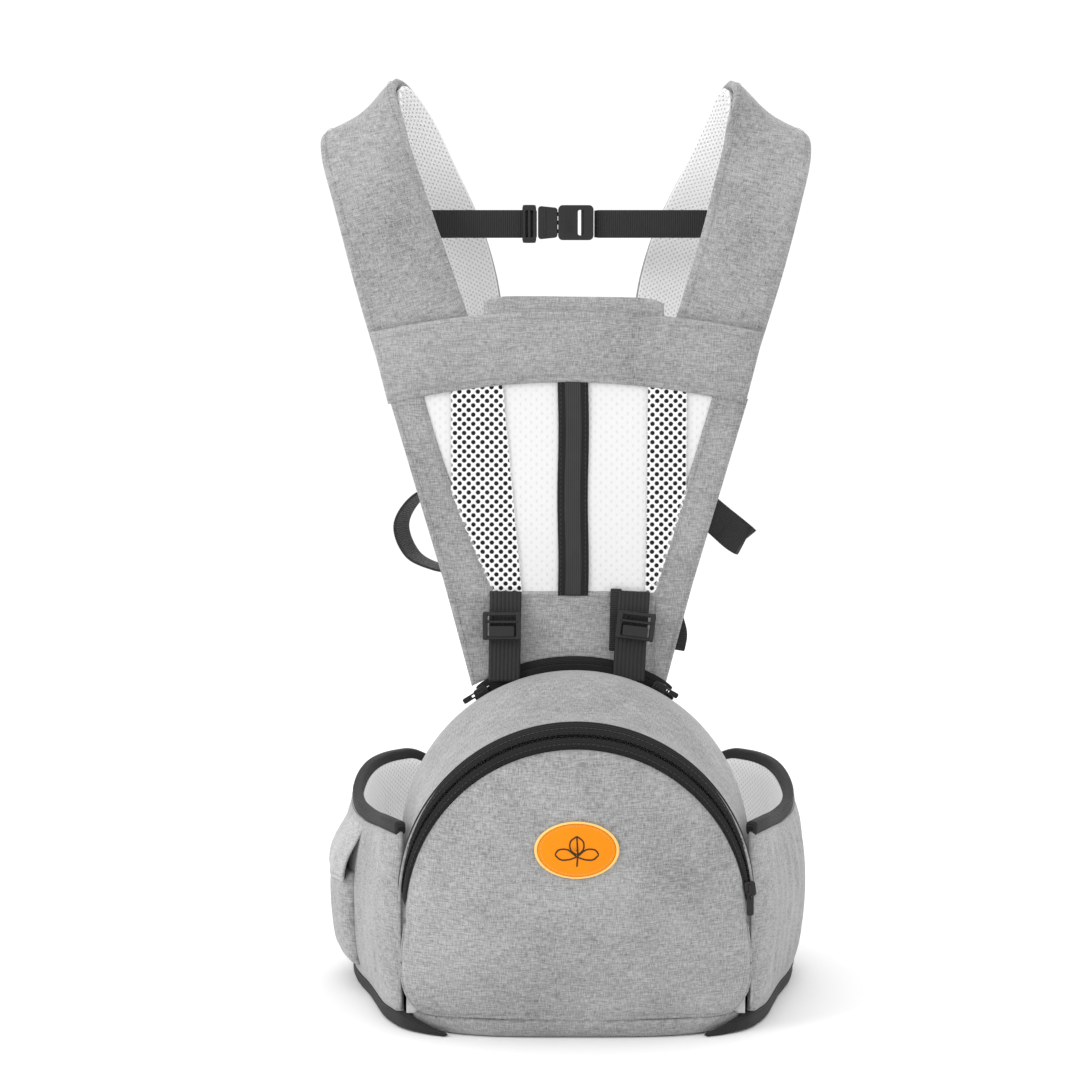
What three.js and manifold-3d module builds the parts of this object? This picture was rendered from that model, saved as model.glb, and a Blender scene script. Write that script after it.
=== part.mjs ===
// Baby carrier backpack: a hip seat with a storage pouch, a padded waist belt, a folding back panel
// with an air-mesh window, two padded shoulder straps and their webbing, locks, zips and buckles.
// Millimetres. +Z is up, the pouch faces -Y, +X is the right side as the pouch is looked at.
// The seat base and the lower edge of the belt stand on z = 0.
import * as THREE from "three";
import { mergeVertices } from "three/addons/utils/BufferGeometryUtils.js";
import Module from "manifold-3d";

const wasm = await Module();
wasm.setup();

// Driving dimensions
const gap = 0.4; // clearance between pieces that touch
const seat = {
  frontY: -77, // front edge of the top cover
  rearY: 29, // rear edge of the top cover
  crestY: 10, // where the seat is highest
  frontHalf: 133.5,
  rearHalf: 136,
  frontSpring: 101, // height where the straight sides turn into the arch
  rearSpring: 123,
  coverThick: 4,
  coverFoot: 16, // height of the lower edge of the cover
  backPadThick: 13,
};
const base = { thick: 6, rearY: 42, sideY: -30, frontY: -104, half: 133 };
const board = { thick: 5, half: 118, frontY: -68, rearY: 24 };
const pouch = {
  planeY: -85,
  centreZ: 87.5,
  radius: 127.5,
  footHalf: 130,
  footCorner: 32, // height over which the lower corners turn in
  footInset: 24,
  bulge: 42,
  footZ: 14,
  footBulge: 18,
  thick: 3,
};
const store = { half: 92, low: 30, high: 170, depth: 66 }; // storage hollow in the foam core
// The zip lies between the rim of the pouch front and this outer circle, so it narrows towards its ends.
const pouchZip = {
  outerCentre: 101.5,
  outerRadius: 133.7,
  tape: 0.42, // width of each tape and of the coil, as shares of the whole band
  coil: 0.12,
  thick: 1.8,
  sweep: 86, // degrees each side of the top
  rest: 83,
};
const badge = { z: 147, half: 31, halfHigh: 20.5, thick: 2 };
const belt = {
  outer: 5, // padding outside the middle surface
  inner: 4,
  lining: 6,
  bulge: 8,
  foot: 0,
  top: 146, // height of the upper edge beside the seat, and at the front end
  topFront: 156,
  bindingHigh: 10,
  bindingLow: 8,
  lead: 2, // stations between the wing's front end on the seat's side and its first plan point
  liningStart: 3,
  tip: 15,
};
const buckleY = 241; // middle plane of the belt webbing and its buckle
const buckleZ = 87;
const webbing = { belt: 38, strap: 25, chest: 22, thick: 1.8 };
const panel = {
  y: 48.6, // front face
  thick: 4,
  axisY: 46,
  sideTop: [140, 468], // half-width and height of the outer edge
  sideMid: [98, 325],
  sideLow: [77, 245],
  windowTop: 470,
  windowLow: [61, 317],
  flare: { left: [0.47, -0.00066], right: [0.32, -0.0001] }, // slope and curve of the window's sides
};
const upperLean = -6; // the yoke and the straps stand a little to the left of the seat
const yoke = { low: 467, high: 521, arch: 17, lowHalf: 140, highHalf: 154, thick: 5 };
const headTab = { half: 70, high: 550, thick: 5 };
const seatZip = { radius: 137.9, tape: 5.6, thick: 1.8, sweep: 33 };
const strap = { width: 69, tail: 42, grey: 9, mesh: 4.5, part: 2.5 }; // part separates the layers
const strapFoot = { left: 79, right: 69 }; // width where each strap leaves the yoke
const colour = {
  heather: 0xa5a6a7,
  mesh: 0xf2f2f0,
  black: 0x1c1c1e,
  plastic: 0x121214,
  orange: 0xff9b00,
  foam: 0xd9d9d6,
  metal: 0x8c8f93,
};
const roughness = {
  heather: 0.9,
  mesh: 0.85,
  black: 0.7,
  plastic: 0.35,
  orange: 0.5,
  foam: 0.95,
  metal: 0.35,
};

const group = new THREE.Group();
group.name = "baby_carrier";

const mix = (a, b, t) => a + (b - a) * t;
const clamp01 = (t) => Math.min(1, Math.max(0, t));
const ease = (t) => t * t * (3 - 2 * t);
const rad = (deg) => (deg * Math.PI) / 180;

function material(kind) {
  return new THREE.MeshStandardMaterial({
    color: colour[kind],
    roughness: roughness[kind],
    metalness: kind === "metal" ? 1 : 0,
  });
}

function addPiece(name, geometry, kind) {
  const mesh = new THREE.Mesh(geometry, material(kind));
  mesh.name = name;
  group.add(mesh);
  return mesh;
}

// Volume inside a list of triangles; negative when the faces point inwards.
function signedVolume(points, faces) {
  let sum = 0;
  for (const [a, b, c] of faces) {
    const [p, q, r] = [points[a], points[b], points[c]];
    sum += p[0] * (q[1] * r[2] - q[2] * r[1]);
    sum -= p[1] * (q[0] * r[2] - q[2] * r[0]);
    sum += p[2] * (q[0] * r[1] - q[1] * r[0]);
  }
  return sum / 6;
}

function closedGeometry(points, faces) {
  const turned = signedVolume(points, faces) < 0;
  const index = faces.flatMap(([a, b, c]) => (turned ? [a, c, b] : [a, b, c]));
  const geometry = new THREE.BufferGeometry();
  geometry.setAttribute("position", new THREE.Float32BufferAttribute(points.flat(), 3));
  geometry.setIndex(index);
  return geometry;
}

// A slab between two grids: face(u, v) and back(u, v) give points for u and v from 0 to 1.
function slab(stepsU, stepsV, face, back) {
  const points = [];
  const at = (side, i, j) => side * (stepsU + 1) * (stepsV + 1) + i * (stepsV + 1) + j;
  for (const surface of [face, back]) {
    for (let i = 0; i <= stepsU; i++) {
      for (let j = 0; j <= stepsV; j++) points.push(surface(i / stepsU, j / stepsV));
    }
  }
  const faces = [];
  const quad = (a, b, c, d) => faces.push([a, b, c], [a, c, d]);
  for (let i = 0; i < stepsU; i++) {
    for (let j = 0; j < stepsV; j++) {
      quad(at(0, i, j), at(0, i + 1, j), at(0, i + 1, j + 1), at(0, i, j + 1));
      quad(at(1, i, j), at(1, i, j + 1), at(1, i + 1, j + 1), at(1, i + 1, j));
    }
    quad(at(0, i, 0), at(1, i, 0), at(1, i + 1, 0), at(0, i + 1, 0));
    quad(at(0, i, stepsV), at(0, i + 1, stepsV), at(1, i + 1, stepsV), at(1, i, stepsV));
  }
  for (let j = 0; j < stepsV; j++) {
    quad(at(0, 0, j), at(0, 0, j + 1), at(1, 0, j + 1), at(1, 0, j));
    quad(at(0, stepsU, j), at(1, stepsU, j), at(1, stepsU, j + 1), at(0, stepsU, j + 1));
  }
  return closedGeometry(points, faces);
}

// A flat piece of constant thickness in a plane y = const, from an (x, z) outline.
function plate(outline, frontY, thick, holes = []) {
  const shape = new THREE.Shape(outline.map(([x, z]) => new THREE.Vector2(x, z)));
  for (const hole of holes) {
    shape.holes.push(new THREE.Path(hole.map(([x, z]) => new THREE.Vector2(x, z))));
  }
  const geometry = new THREE.ExtrudeGeometry(shape, { depth: thick, bevelEnabled: false });
  geometry.rotateX(Math.PI / 2); // the outline's second number becomes z, the depth runs to -y
  geometry.translate(0, frontY + thick, 0);
  return geometry;
}

function rectangle(halfX, halfZ, corner = 0) {
  if (!corner) return [[-halfX, -halfZ], [halfX, -halfZ], [halfX, halfZ], [-halfX, halfZ]];
  const points = [];
  for (let k = 0; k < 4; k++) {
    const cx = (halfX - corner) * (k === 0 || k === 3 ? 1 : -1);
    const cz = (halfZ - corner) * (k < 2 ? 1 : -1);
    for (let s = 0; s <= 2; s++) {
      const angle = rad(90 * k + 45 * s);
      points.push([cx + corner * Math.cos(angle), cz + corner * Math.sin(angle)]);
    }
  }
  return points;
}

function solidOf(geometry) {
  const bare = geometry.clone();
  bare.deleteAttribute("normal");
  bare.deleteAttribute("uv");
  const merged = mergeVertices(bare, 1e-3);
  const vertProperties = new Float32Array(merged.attributes.position.array);
  const triVerts = new Uint32Array(merged.index.array);
  return new wasm.Manifold(new wasm.Mesh({ numProp: 3, vertProperties, triVerts }));
}

function geometryOf(solid) {
  const mesh = solid.getMesh();
  const geometry = new THREE.BufferGeometry();
  geometry.setAttribute("position", new THREE.BufferAttribute(new Float32Array(mesh.vertProperties), 3));
  geometry.setIndex(new THREE.BufferAttribute(new Uint32Array(mesh.triVerts), 1));
  return geometry;
}

function block(sizeX, sizeY, sizeZ, x, y, z) {
  return new THREE.BoxGeometry(sizeX, sizeY, sizeZ).translate(x, y, z);
}

// A webbing keeper: a block with a slot for a band of the given width, centred on the origin.
function sleeve(sizeX, sizeY, sizeZ, width) {
  const slot = block(sizeX + 2, webbing.thick + 2 * gap, width + 2 * gap, 0, 0, 0);
  return geometryOf(solidOf(block(sizeX, sizeY, sizeZ, 0, 0, 0)).subtract(solidOf(slot)));
}

// A flat band along a path. The width directions are blended between the ends and the middle ones,
// and from / to are the distances of its two faces from the path, on the side that faces turn to.
function band(path, across, width, from, to, steps, stepsAcross = 1) {
  const curve = new THREE.CatmullRomCurve3(path.map((p) => new THREE.Vector3(...p)));
  const widths = new THREE.CatmullRomCurve3(across.map((p) => new THREE.Vector3(...p)));
  const place = (u, v, lift) => {
    const centre = curve.getPointAt(u);
    const along = curve.getTangentAt(u);
    const side = widths.getPoint(u);
    side.addScaledVector(along, -side.dot(along)).normalize();
    const out = new THREE.Vector3().crossVectors(along, side).normalize();
    const wide = typeof width === "function" ? width(u) : width;
    return centre.addScaledVector(side, (v - 0.5) * wide).addScaledVector(out, lift).toArray();
  };
  return slab(steps, stepsAcross, (u, v) => place(u, v, from), (u, v) => place(u, v, to));
}

const mirrored = (points) => points.map(([x, y, z]) => [-x, y, z]);

// ---- Hip seat ----

// How far back a station is between the front edge and the crest, eased.
const seatStage = (y) => ease(clamp01((y - seat.frontY) / (seat.crestY - seat.frontY)));
const seatHalf = (y) => mix(seat.frontHalf, seat.rearHalf, seatStage(y));
const seatSpring = (y) => mix(seat.frontSpring, seat.rearSpring, seatStage(y));

// A point on an arch of two straight legs and a half circle; t runs 0 to 1 from the left foot to the right.
function archPoint(t, half, spring, foot) {
  const leg = spring - foot;
  const total = 2 * leg + Math.PI * half;
  const run = t * total;
  if (run < leg) return [-half, foot + run];
  if (run > total - leg) return [half, foot + total - run];
  const angle = Math.PI - (run - leg) / half;
  return [half * Math.cos(angle), spring + half * Math.sin(angle)];
}

function seatPoint(t, y, inset, foot) {
  const [x, z] = archPoint(t, seatHalf(y) - inset, seatSpring(y), foot);
  return [x, y, z];
}

function buildSeat() {
  const stationY = (v) => mix(seat.frontY, seat.rearY, v);
  const cover = slab(
    26,
    5,
    (u, v) => seatPoint(u, stationY(v), 0, seat.coverFoot),
    (u, v) => seatPoint(u, stationY(v), seat.coverThick, seat.coverFoot),
  );
  addPiece("seat_top_cover", cover, "heather");

  // The foam core fills the cover, with the storage hollow open to the front.
  const coreInset = seat.coverThick + 4 * gap;
  const coreFoot = base.thick + board.thick + 2 * gap;
  const coreBack = seat.rearY - gap;
  const coreFront = seat.frontY + 3;
  const left = (u, v) => {
    const y = mix(coreFront, coreBack, v);
    return seatPoint(u * 0.5, y, coreInset, coreFoot);
  };
  const right = (u, v) => {
    const [x, y, z] = left(u, v);
    return [-x, y, z];
  };
  const core = solidOf(slab(13, 4, left, right));
  const hollowZ = (store.low + store.high) / 2;
  const hollowY = coreFront + store.depth / 2 - 1;
  const hollow = solidOf(block(2 * store.half, store.depth, store.high - store.low, 0, hollowY, hollowZ));
  addPiece("seat_foam_core", geometryOf(core.subtract(hollow)), "foam");

  const padY = seat.rearY + gap;
  const padOutline = [];
  const padSteps = 22;
  for (let i = 0; i <= padSteps; i++) {
    const padRadius = seatZip.radius - seatZip.tape - 1;
    padOutline.push(archPoint(i / padSteps, padRadius, seat.rearSpring, seat.coverFoot));
  }
  addPiece("seat_back_pad", plate(padOutline, padY, seat.backPadThick), "mesh");

  // Plan outline of the base: straight at the back, round at the front.
  const baseOutline = (half, frontY, sideY, rearY) => {
    const points = [[half, rearY], [-half, rearY]];
    const steps = 14;
    for (let i = 0; i <= steps; i++) {
      const angle = Math.PI * (1 - i / steps);
      const x = half * Math.cos(angle);
      points.push([x, mix(sideY, frontY, Math.sin(angle) ** 0.8)]);
    }
    return points;
  };
  const flatPiece = (outline, thick, z) => {
    const shape = new THREE.Shape(outline.map(([x, y]) => new THREE.Vector2(x, y)));
    return new THREE.ExtrudeGeometry(shape, { depth: thick, bevelEnabled: false }).translate(0, 0, z);
  };
  const basePlan = baseOutline(base.half, base.frontY, base.sideY, base.rearY);
  addPiece("seat_base_panel", flatPiece(basePlan, base.thick, 0), "heather");
  const boardPlan = rectangle(board.half, (board.rearY - board.frontY) / 2, 14);
  const boardPiece = flatPiece(boardPlan, board.thick, base.thick + gap);
  const boardMesh = addPiece("seat_base_board", boardPiece, "plastic");
  boardMesh.position.y = (board.rearY + board.frontY) / 2;
}

// ---- Storage pouch on the front of the seat ----

// Half-width of the pouch front at a height: round inside the zip, a little wider below it, and
// turning in at the lower corners.
function pouchHalf(z) {
  const above = Math.max(0, z - pouch.centreZ);
  const round = Math.sqrt(Math.max(0, pouch.radius ** 2 - above ** 2));
  const spread = ease(clamp01((pouch.centreZ - z) / 22));
  const corner = 1 - clamp01((z - pouch.footZ) / pouch.footCorner);
  return mix(round, pouch.footHalf, spread) - pouch.footInset * (1 - Math.sqrt(1 - corner ** 2));
}

// How far the pouch front stands out of its zip plane.
function pouchDepth(x, z) {
  const across = 1 - (x / pouchHalf(z)) ** 2;
  const top = pouch.centreZ + pouch.radius;
  const rise = clamp01((z - pouch.footZ) / (top - pouch.footZ));
  const profile = mix(pouch.footBulge, pouch.bulge, Math.sin(Math.PI * Math.min(0.5, rise * 1.1)));
  const fall = rise < 0.5 ? 1 : Math.sqrt(Math.max(0, 1 - ((rise - 0.5) / 0.5) ** 2));
  return profile * fall * Math.max(0, across) ** 0.6;
}

// A flat arc between two radii in a plane y = const, swept each side of the top.
function arcBand(centreZ, inner, outer, sweep, frontY, backY, thick, steps) {
  const place = (u, v, lift) => {
    const angle = rad(mix(-sweep, sweep, u));
    const radius = mix(inner, outer, v);
    return [radius * Math.sin(angle), mix(frontY, backY, v) + lift, centreZ + radius * Math.cos(angle)];
  };
  return slab(steps, 1, (u, v) => place(u, v, 0), (u, v) => place(u, v, thick));
}

// Centre height and radius of the circle a share of the way from the pouch rim to the zip's outer edge.
function zipCircle(share) {
  return [
    mix(pouch.centreZ, pouchZip.outerCentre, share),
    mix(pouch.radius + 2 * gap, pouchZip.outerRadius, share),
  ];
}

// A flat strip of the pouch zip between two shares of its width.
function zipStrip(from, to, frontY, backY) {
  const place = (u, v, lift) => {
    const angle = rad(mix(-pouchZip.sweep, pouchZip.sweep, u));
    const [centre, radius] = zipCircle(mix(from, to, v));
    return [radius * Math.sin(angle), mix(frontY, backY, v) + lift, centre + radius * Math.cos(angle)];
  };
  return slab(22, 1, (u, v) => place(u, v, 0), (u, v) => place(u, v, pouchZip.thick));
}

function buildPouch() {
  const stepsAcross = 16;
  const stepsUp = 12;
  const topAngle = rad(80);
  const legShare = 0.42; // share of the rows that lies on the straight sides
  const heightAt = (v) => {
    if (v < legShare) return mix(pouch.footZ, pouch.centreZ, v / legShare);
    const angle = (topAngle * (v - legShare)) / (1 - legShare);
    return pouch.centreZ + pouch.radius * Math.sin(angle);
  };
  const place = (u, v, lift) => {
    const z = heightAt(v);
    const x = mix(-1, 1, u) * pouchHalf(z);
    return [x, pouch.planeY - pouchDepth(x, z) + lift, z];
  };
  const front = slab(
    stepsAcross,
    stepsUp,
    (u, v) => place(u, v, 0),
    (u, v) => place(u, v, pouch.thick),
  );
  addPiece("pouch_front_panel", front, "heather");

  const zipY = pouch.planeY;
  const part = 0.02; // space between the strips, as a share of the zip's width
  const coilFrom = pouchZip.tape + part;
  const coilTo = coilFrom + pouchZip.coil;
  addPiece("pouch_zip_tape_lower", zipStrip(0, pouchZip.tape, zipY, zipY - 1), "black");
  addPiece("pouch_zip_coil", zipStrip(coilFrom, coilTo, zipY - 1, zipY - 1), "plastic");
  addPiece("pouch_zip_tape_upper", zipStrip(coilTo + part, 1, zipY - 1, zipY + 4), "black");

  // The slider rests at the right end of the zip, and its pull hangs from it.
  const restAngle = rad(pouchZip.rest);
  const [runCentre, runRadius] = zipCircle((coilFrom + coilTo) / 2);
  const sliderX = runRadius * Math.sin(restAngle);
  const sliderZ = runCentre + runRadius * Math.cos(restAngle);
  const slider = addPiece("pouch_zip_slider", block(9, 3, 12, 0, 0, 0), "metal");
  slider.position.set(sliderX, zipY - 3.2, sliderZ);
  slider.rotation.y = restAngle - Math.PI / 2;
  const pull = addPiece("pouch_zip_pull", plate(rectangle(2.5, 9, 1.5), 0, 1.4), "metal");
  pull.position.set(sliderX, zipY - 6.5, sliderZ - 11);

  const oval = [];
  const ovalSteps = 28;
  for (let i = 0; i < ovalSteps; i++) {
    const angle = (2 * Math.PI * i) / ovalSteps;
    oval.push([badge.half * Math.cos(angle), badge.z + badge.halfHigh * Math.sin(angle)]);
  }
  const badgeFace = pouch.planeY - pouchDepth(0, badge.z) - 4 * gap - badge.thick;
  const lift = (x, z) => badgeFace + pouchDepth(0, badge.z) - pouchDepth(x, z);
  const ring = (share, y) => oval.map(([x, z]) => {
    const px = x * share;
    const pz = badge.z + (z - badge.z) * share;
    return [px, lift(px, pz) + y, pz];
  });
  const middle = [[0, badgeFace, badge.z], [0, badgeFace + badge.thick, badge.z]];
  const points = [...ring(1, 0), ...ring(1, badge.thick), ...middle];
  const faces = [];
  for (let i = 0; i < ovalSteps; i++) {
    const next = (i + 1) % ovalSteps;
    faces.push([2 * ovalSteps, i, next], [2 * ovalSteps + 1, ovalSteps + next, ovalSteps + i]);
    faces.push([i, ovalSteps + i, ovalSteps + next], [i, ovalSteps + next, next]);
  }
  addPiece("badge_oval", closedGeometry(points, faces), "orange");
}

// ---- Waist belt ----

// Plan of one wing, from the seat's side round to the back, for the right side.
const wingPlan = [[147, -22], [156, 20], [169, 70], [174, 120], [164, 168], [133, 206], [96, 224], [66, 230]];
const wingCurve = new THREE.CatmullRomCurve3(wingPlan.map(([x, y]) => new THREE.Vector3(x, y, 0)));

// Upper and lower edge of the wing along its length: the upper one falls from the seat's side, rises to
// the hip, and both taper to the webbing.
function wingTop(u) {
  const front = mix(belt.top, belt.topFront, clamp01((-u * belt.tip) / belt.lead));
  const rise = mix(front, 168, ease(clamp01((u - 0.3) / 0.4)));
  return mix(rise, 122, ease(clamp01((u - 0.74) / 0.26)));
}
const wingFoot = (u) => mix(belt.foot, 52, ease(clamp01((u - 0.66) / 0.34)));

// Ahead of its first plan point the wing runs straight on, against the side of the seat.
function wingPoint(side, u, z, lift) {
  const centre = wingCurve.getPointAt(Math.max(0, u));
  const along = wingCurve.getTangentAt(Math.max(0, u));
  centre.addScaledVector(along, Math.min(0, u) * wingCurve.getLength());
  const share = clamp01((z - wingFoot(u)) / (wingTop(u) - wingFoot(u)));
  const swell = belt.bulge * Math.sin(Math.PI * share) * Math.sin(Math.PI * clamp01(u + 0.12));
  const out = lift + swell;
  return [side * (centre.x + along.y * out), centre.y - along.x * out, z];
}

// All pieces of a wing share its stations, so from and to are whole stations.
function wingSlab(side, lowOf, highOf, innerOf, outer, from, to, stepsV) {
  const height = (u, v) => mix(lowOf(u), highOf(u), v);
  const run = (u) => mix(from, to, u) / belt.tip;
  return slab(
    to - from,
    stepsV,
    (u, v) => wingPoint(side, run(u), height(run(u), v), outer),
    (u, v) => wingPoint(side, run(u), height(run(u), v), innerOf(run(u))),
  );
}

function buildBelt() {
  for (const [label, side] of [["left", -1], ["right", 1]]) {
    const low = (u) => wingFoot(u) + belt.bindingLow + 2 * gap;
    const high = (u) => wingTop(u) - belt.bindingHigh - 2 * gap;
    // The binding covers the wing's edge alone at the front, and the lining's edge too further back.
    const wingInner = () => -belt.inner;
    const liningInner = () => -belt.inner - gap - belt.lining;
    const bindingInner = (u) => mix(-belt.inner, liningInner(), clamp01(1 + (u * belt.tip) / belt.lead));
    const { lead, liningStart, tip } = belt;
    const outer = belt.outer + 1;
    const wing = wingSlab(side, low, high, wingInner, belt.outer, -lead, tip, 4);
    addPiece(`belt_wing_${label}`, wing, "heather");
    const lining = wingSlab(side, low, high, liningInner, -belt.inner - gap, liningStart, tip, 4);
    addPiece(`belt_lining_${label}`, lining, "mesh");
    const topLow = (u) => wingTop(u) - belt.bindingHigh;
    const top = wingSlab(side, topLow, wingTop, bindingInner, outer, -lead, tip, 1);
    addPiece(`belt_top_binding_${label}`, top, "black");
    const footHigh = (u) => wingFoot(u) + belt.bindingLow;
    const foot = wingSlab(side, wingFoot, footHigh, bindingInner, outer, -lead, tip, 1);
    addPiece(`belt_bottom_binding_${label}`, foot, "black");
    const near = side > 0 ? 21.5 : 26.5;
    const far = 88; // the webbing lies on the outside of the wing's tip
    const web = block(far - near, webbing.thick, webbing.belt, (side * (far + near)) / 2, buckleY, buckleZ);
    addPiece(`belt_webbing_${label}`, web, "black");
  }

  // Side-release buckle: the male half slides to -X out of the female half.
  const female = plate(rectangle(17, 23, 4), 0, 14);
  const tunnel = block(60, 7, 34, -10, 7, 0);
  const femaleSolid = solidOf(female).subtract(solidOf(tunnel));
  const femaleMesh = addPiece("belt_buckle_female", geometryOf(femaleSolid), "plastic");
  femaleMesh.position.set(3.6, buckleY - 7, buckleZ);
  const male = solidOf(plate(rectangle(5.4, 22, 2), 0, 12));
  const prongs = [-11, 0, 11].map((z) => solidOf(block(27, 5, 5.4, 17, 6, z)));
  const maleSolid = prongs.reduce((sum, prong) => sum.add(prong), male);
  const maleMesh = addPiece("belt_buckle_male", geometryOf(maleSolid), "plastic");
  maleMesh.position.set(-20, buckleY - 6, buckleZ);
  addPiece("belt_triglide", sleeve(12, 8, 46, webbing.belt), "plastic").position.set(46, buckleY, buckleZ);
}

function buildSidePocket() {
  const low = () => 22;
  const high = () => 96;
  const pocket = wingSlab(-1, low, high, () => belt.outer + 1.2, belt.outer + 10, 3, 7, 3);
  addPiece("side_pocket", pocket, "heather");
  const flap = wingSlab(-1, () => 97, () => 131, () => belt.outer + 7, belt.outer + 12, 3, 7, 2);
  addPiece("side_pocket_flap", flap, "heather");
}

// ---- Folding back panel ----

// Half-width of the panel's outer edge and of the window at a height.
function edgeHalf(z) {
  const { sideTop, sideMid, sideLow } = panel;
  if (z > sideMid[1]) return mix(sideMid[0], sideTop[0], (z - sideMid[1]) / (sideTop[1] - sideMid[1]));
  return mix(sideLow[0], sideMid[0], (z - sideLow[1]) / (sideMid[1] - sideLow[1]));
}
function windowHalf(z, side) {
  const [slope, curve] = side < 0 ? panel.flare.left : panel.flare.right;
  const rise = z - panel.windowLow[1];
  return panel.windowLow[0] + slope * rise + curve * rise ** 2;
}
const archZ = (x, radius) => seat.rearSpring + Math.sqrt(radius ** 2 - x ** 2);
const yokeLow = (x) => yoke.low + yoke.arch * (1 - ((x - upperLean) / yoke.lowHalf) ** 2);
const yokeHigh = (x) => yoke.high + yoke.arch * (1 - ((x - upperLean) / yoke.highHalf) ** 2);

function buildPanel() {
  const footRadius = seatZip.radius + seatZip.tape + gap;
  const lowHalf = panel.windowLow[0] - gap;
  const windowFoot = panel.windowLow[1];
  const across = (u, half) => mix(-half, half, u);
  const slabY = (stepsU, stepsV, low, high, half, frontY, thick) =>
    slab(
      stepsU,
      stepsV,
      (u, v) => [across(u, half), frontY, mix(low(across(u, half)), high(across(u, half)), v)],
      (u, v) => [across(u, half), frontY + thick, mix(low(across(u, half)), high(across(u, half)), v)],
    );
  const lowFoot = (x) => archZ(x, footRadius);
  const lower = slabY(8, 1, lowFoot, () => windowFoot - gap, lowHalf, panel.y, panel.thick);
  addPiece("panel_lower", lower, "heather");

  for (const [label, side] of [["left", -1], ["right", 1]]) {
    const edge = (z) => edgeHalf(z) + side * 0.75 * upperLean;
    const inner = (z) => (z < windowFoot ? panel.windowLow[0] : windowHalf(z, side));
    const heights = [0, 0.3, 0.5, 0.75, 1];
    const outline = (v) => {
      const index = Math.min(heights.length - 2, Math.floor(v * (heights.length - 1)));
      return mix(heights[index], heights[index + 1], v * (heights.length - 1) - index);
    };
    const place = (u, v, lift) => {
      const lowX = u < 0.5 ? panel.windowLow[0] : panel.sideLow[0];
      const low = archZ(lowX, footRadius);
      const highX = u < 0.5 ? side * windowHalf(panel.windowTop, side) : side * panel.sideTop[0] + upperLean;
      const high = yokeLow(highX) - 2;
      const z = mix(low, high, outline(v));
      const x = u < 0.5 ? inner(z) : edge(z);
      return [side * x, panel.y + lift, z];
    };
    const border = slab(1, 8, (u, v) => place(u, v, 0), (u, v) => place(u, v, panel.thick));
    addPiece(`panel_border_${label}`, border, "heather");
  }

  const meshY = panel.y + 1.6;
  const topOf = (x) => yokeLow(x) - 1;
  const meshRow = (u, v, lift) => {
    const share = mix(-1, 1, u);
    const z = mix(windowFoot, topOf(share * windowHalf(panel.windowTop, share)), v);
    const half = windowHalf(Math.min(z, panel.windowTop), share) - 1;
    return [share * half, meshY + lift, z];
  };
  addPiece("window_mesh", slab(10, 4, (u, v) => meshRow(u, v, 0), (u, v) => meshRow(u, v, 1.6)), "mesh");

  // Perforated strips: x of the inner edge at the top and bottom, and the widest reach of the outer
  // edge, which otherwise follows the side of the window.
  const strips = { left: [-56, -41, 96], right: [57, 56, 88] };
  const windowHigh = panel.windowTop - windowFoot;
  for (const [label, [innerTop, innerLow, reach]] of Object.entries(strips)) {
    const side = Math.sign(innerTop);
    const place = (u, v, lift) => {
      const outer = side * Math.min(reach, windowHalf(windowFoot + v * windowHigh, side) - 2);
      const x = mix(mix(innerLow, innerTop, v), outer, u);
      return [x, panel.y + lift, mix(windowFoot + gap, topOf(x), v)];
    };
    const strip = slab(2, 7, (u, v) => place(u, v, 0), (u, v) => place(u, v, 1.2));
    addPiece(`window_strip_${label}`, strip, "mesh");
  }
  const tape = slabY(2, 1, () => windowFoot + gap, topOf, 12, panel.y, 1.2);
  addPiece("centre_zip_tape", tape, "black");
  const flap = slabY(2, 1, () => windowFoot + gap, topOf, 6.4, panel.y - 1.6, 1.2);
  addPiece("centre_zip_cover", flap, "black");

  const yokeY = panel.y - 1.6;
  const yokeRow = (u, v, lift) => {
    const share = mix(-1, 1, u);
    const half = mix(yoke.lowHalf, yoke.highHalf, v);
    const z = mix(yoke.low, yoke.high, v) + yoke.arch * (1 - share ** 2);
    return [upperLean + share * half, yokeY + lift, z];
  };
  const yokeSlab = slab(14, 2, (u, v) => yokeRow(u, v, 0), (u, v) => yokeRow(u, v, yoke.thick));
  addPiece("yoke_band", yokeSlab, "heather");
  const tab = slabY(
    8, 1, (x) => yokeHigh(x) + gap, (x) => headTab.high - 4 * (x / headTab.half) ** 4, headTab.half,
    yokeY + 1, headTab.thick);
  addPiece("head_tab", tab, "heather");
}

function buildSeatZip() {
  const low = seatZip.radius - seatZip.tape;
  const rearFace = seat.rearY + gap + seat.backPadThick;
  const lower = arcBand(
    seat.rearSpring, low, seatZip.radius - gap, seatZip.sweep + 2,
    rearFace - 3, rearFace - 1, seatZip.thick, 12);
  addPiece("panel_zip_tape_lower", lower, "black");
  const upper = arcBand(
    seat.rearSpring, seatZip.radius, seatZip.radius + seatZip.tape, seatZip.sweep,
    panel.axisY - 2, panel.axisY, seatZip.thick, 12);
  addPiece("panel_zip_tape_upper", upper, "black");
  for (const [label, side] of [["left", -1], ["right", 1]]) {
    const angle = rad(side < 0 ? seatZip.sweep - 1 : seatZip.sweep - 4) * side;
    const slider = solidOf(block(13, 3, 8, 0, 0, 0)).add(solidOf(block(12, 1.6, 4, side * 11, 0.4, 1)));
    const mesh = addPiece(`panel_zip_slider_${label}`, geometryOf(slider), "metal");
    const sliderX = seatZip.radius * Math.sin(angle);
    const sliderZ = seat.rearSpring + seatZip.radius * Math.cos(angle);
    mesh.position.set(sliderX, rearFace - 6.5, sliderZ);
    mesh.rotation.y = angle;
  }
}

// ---- Shoulder straps, underarm webbing, chest strap and front adjusters ----

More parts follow.
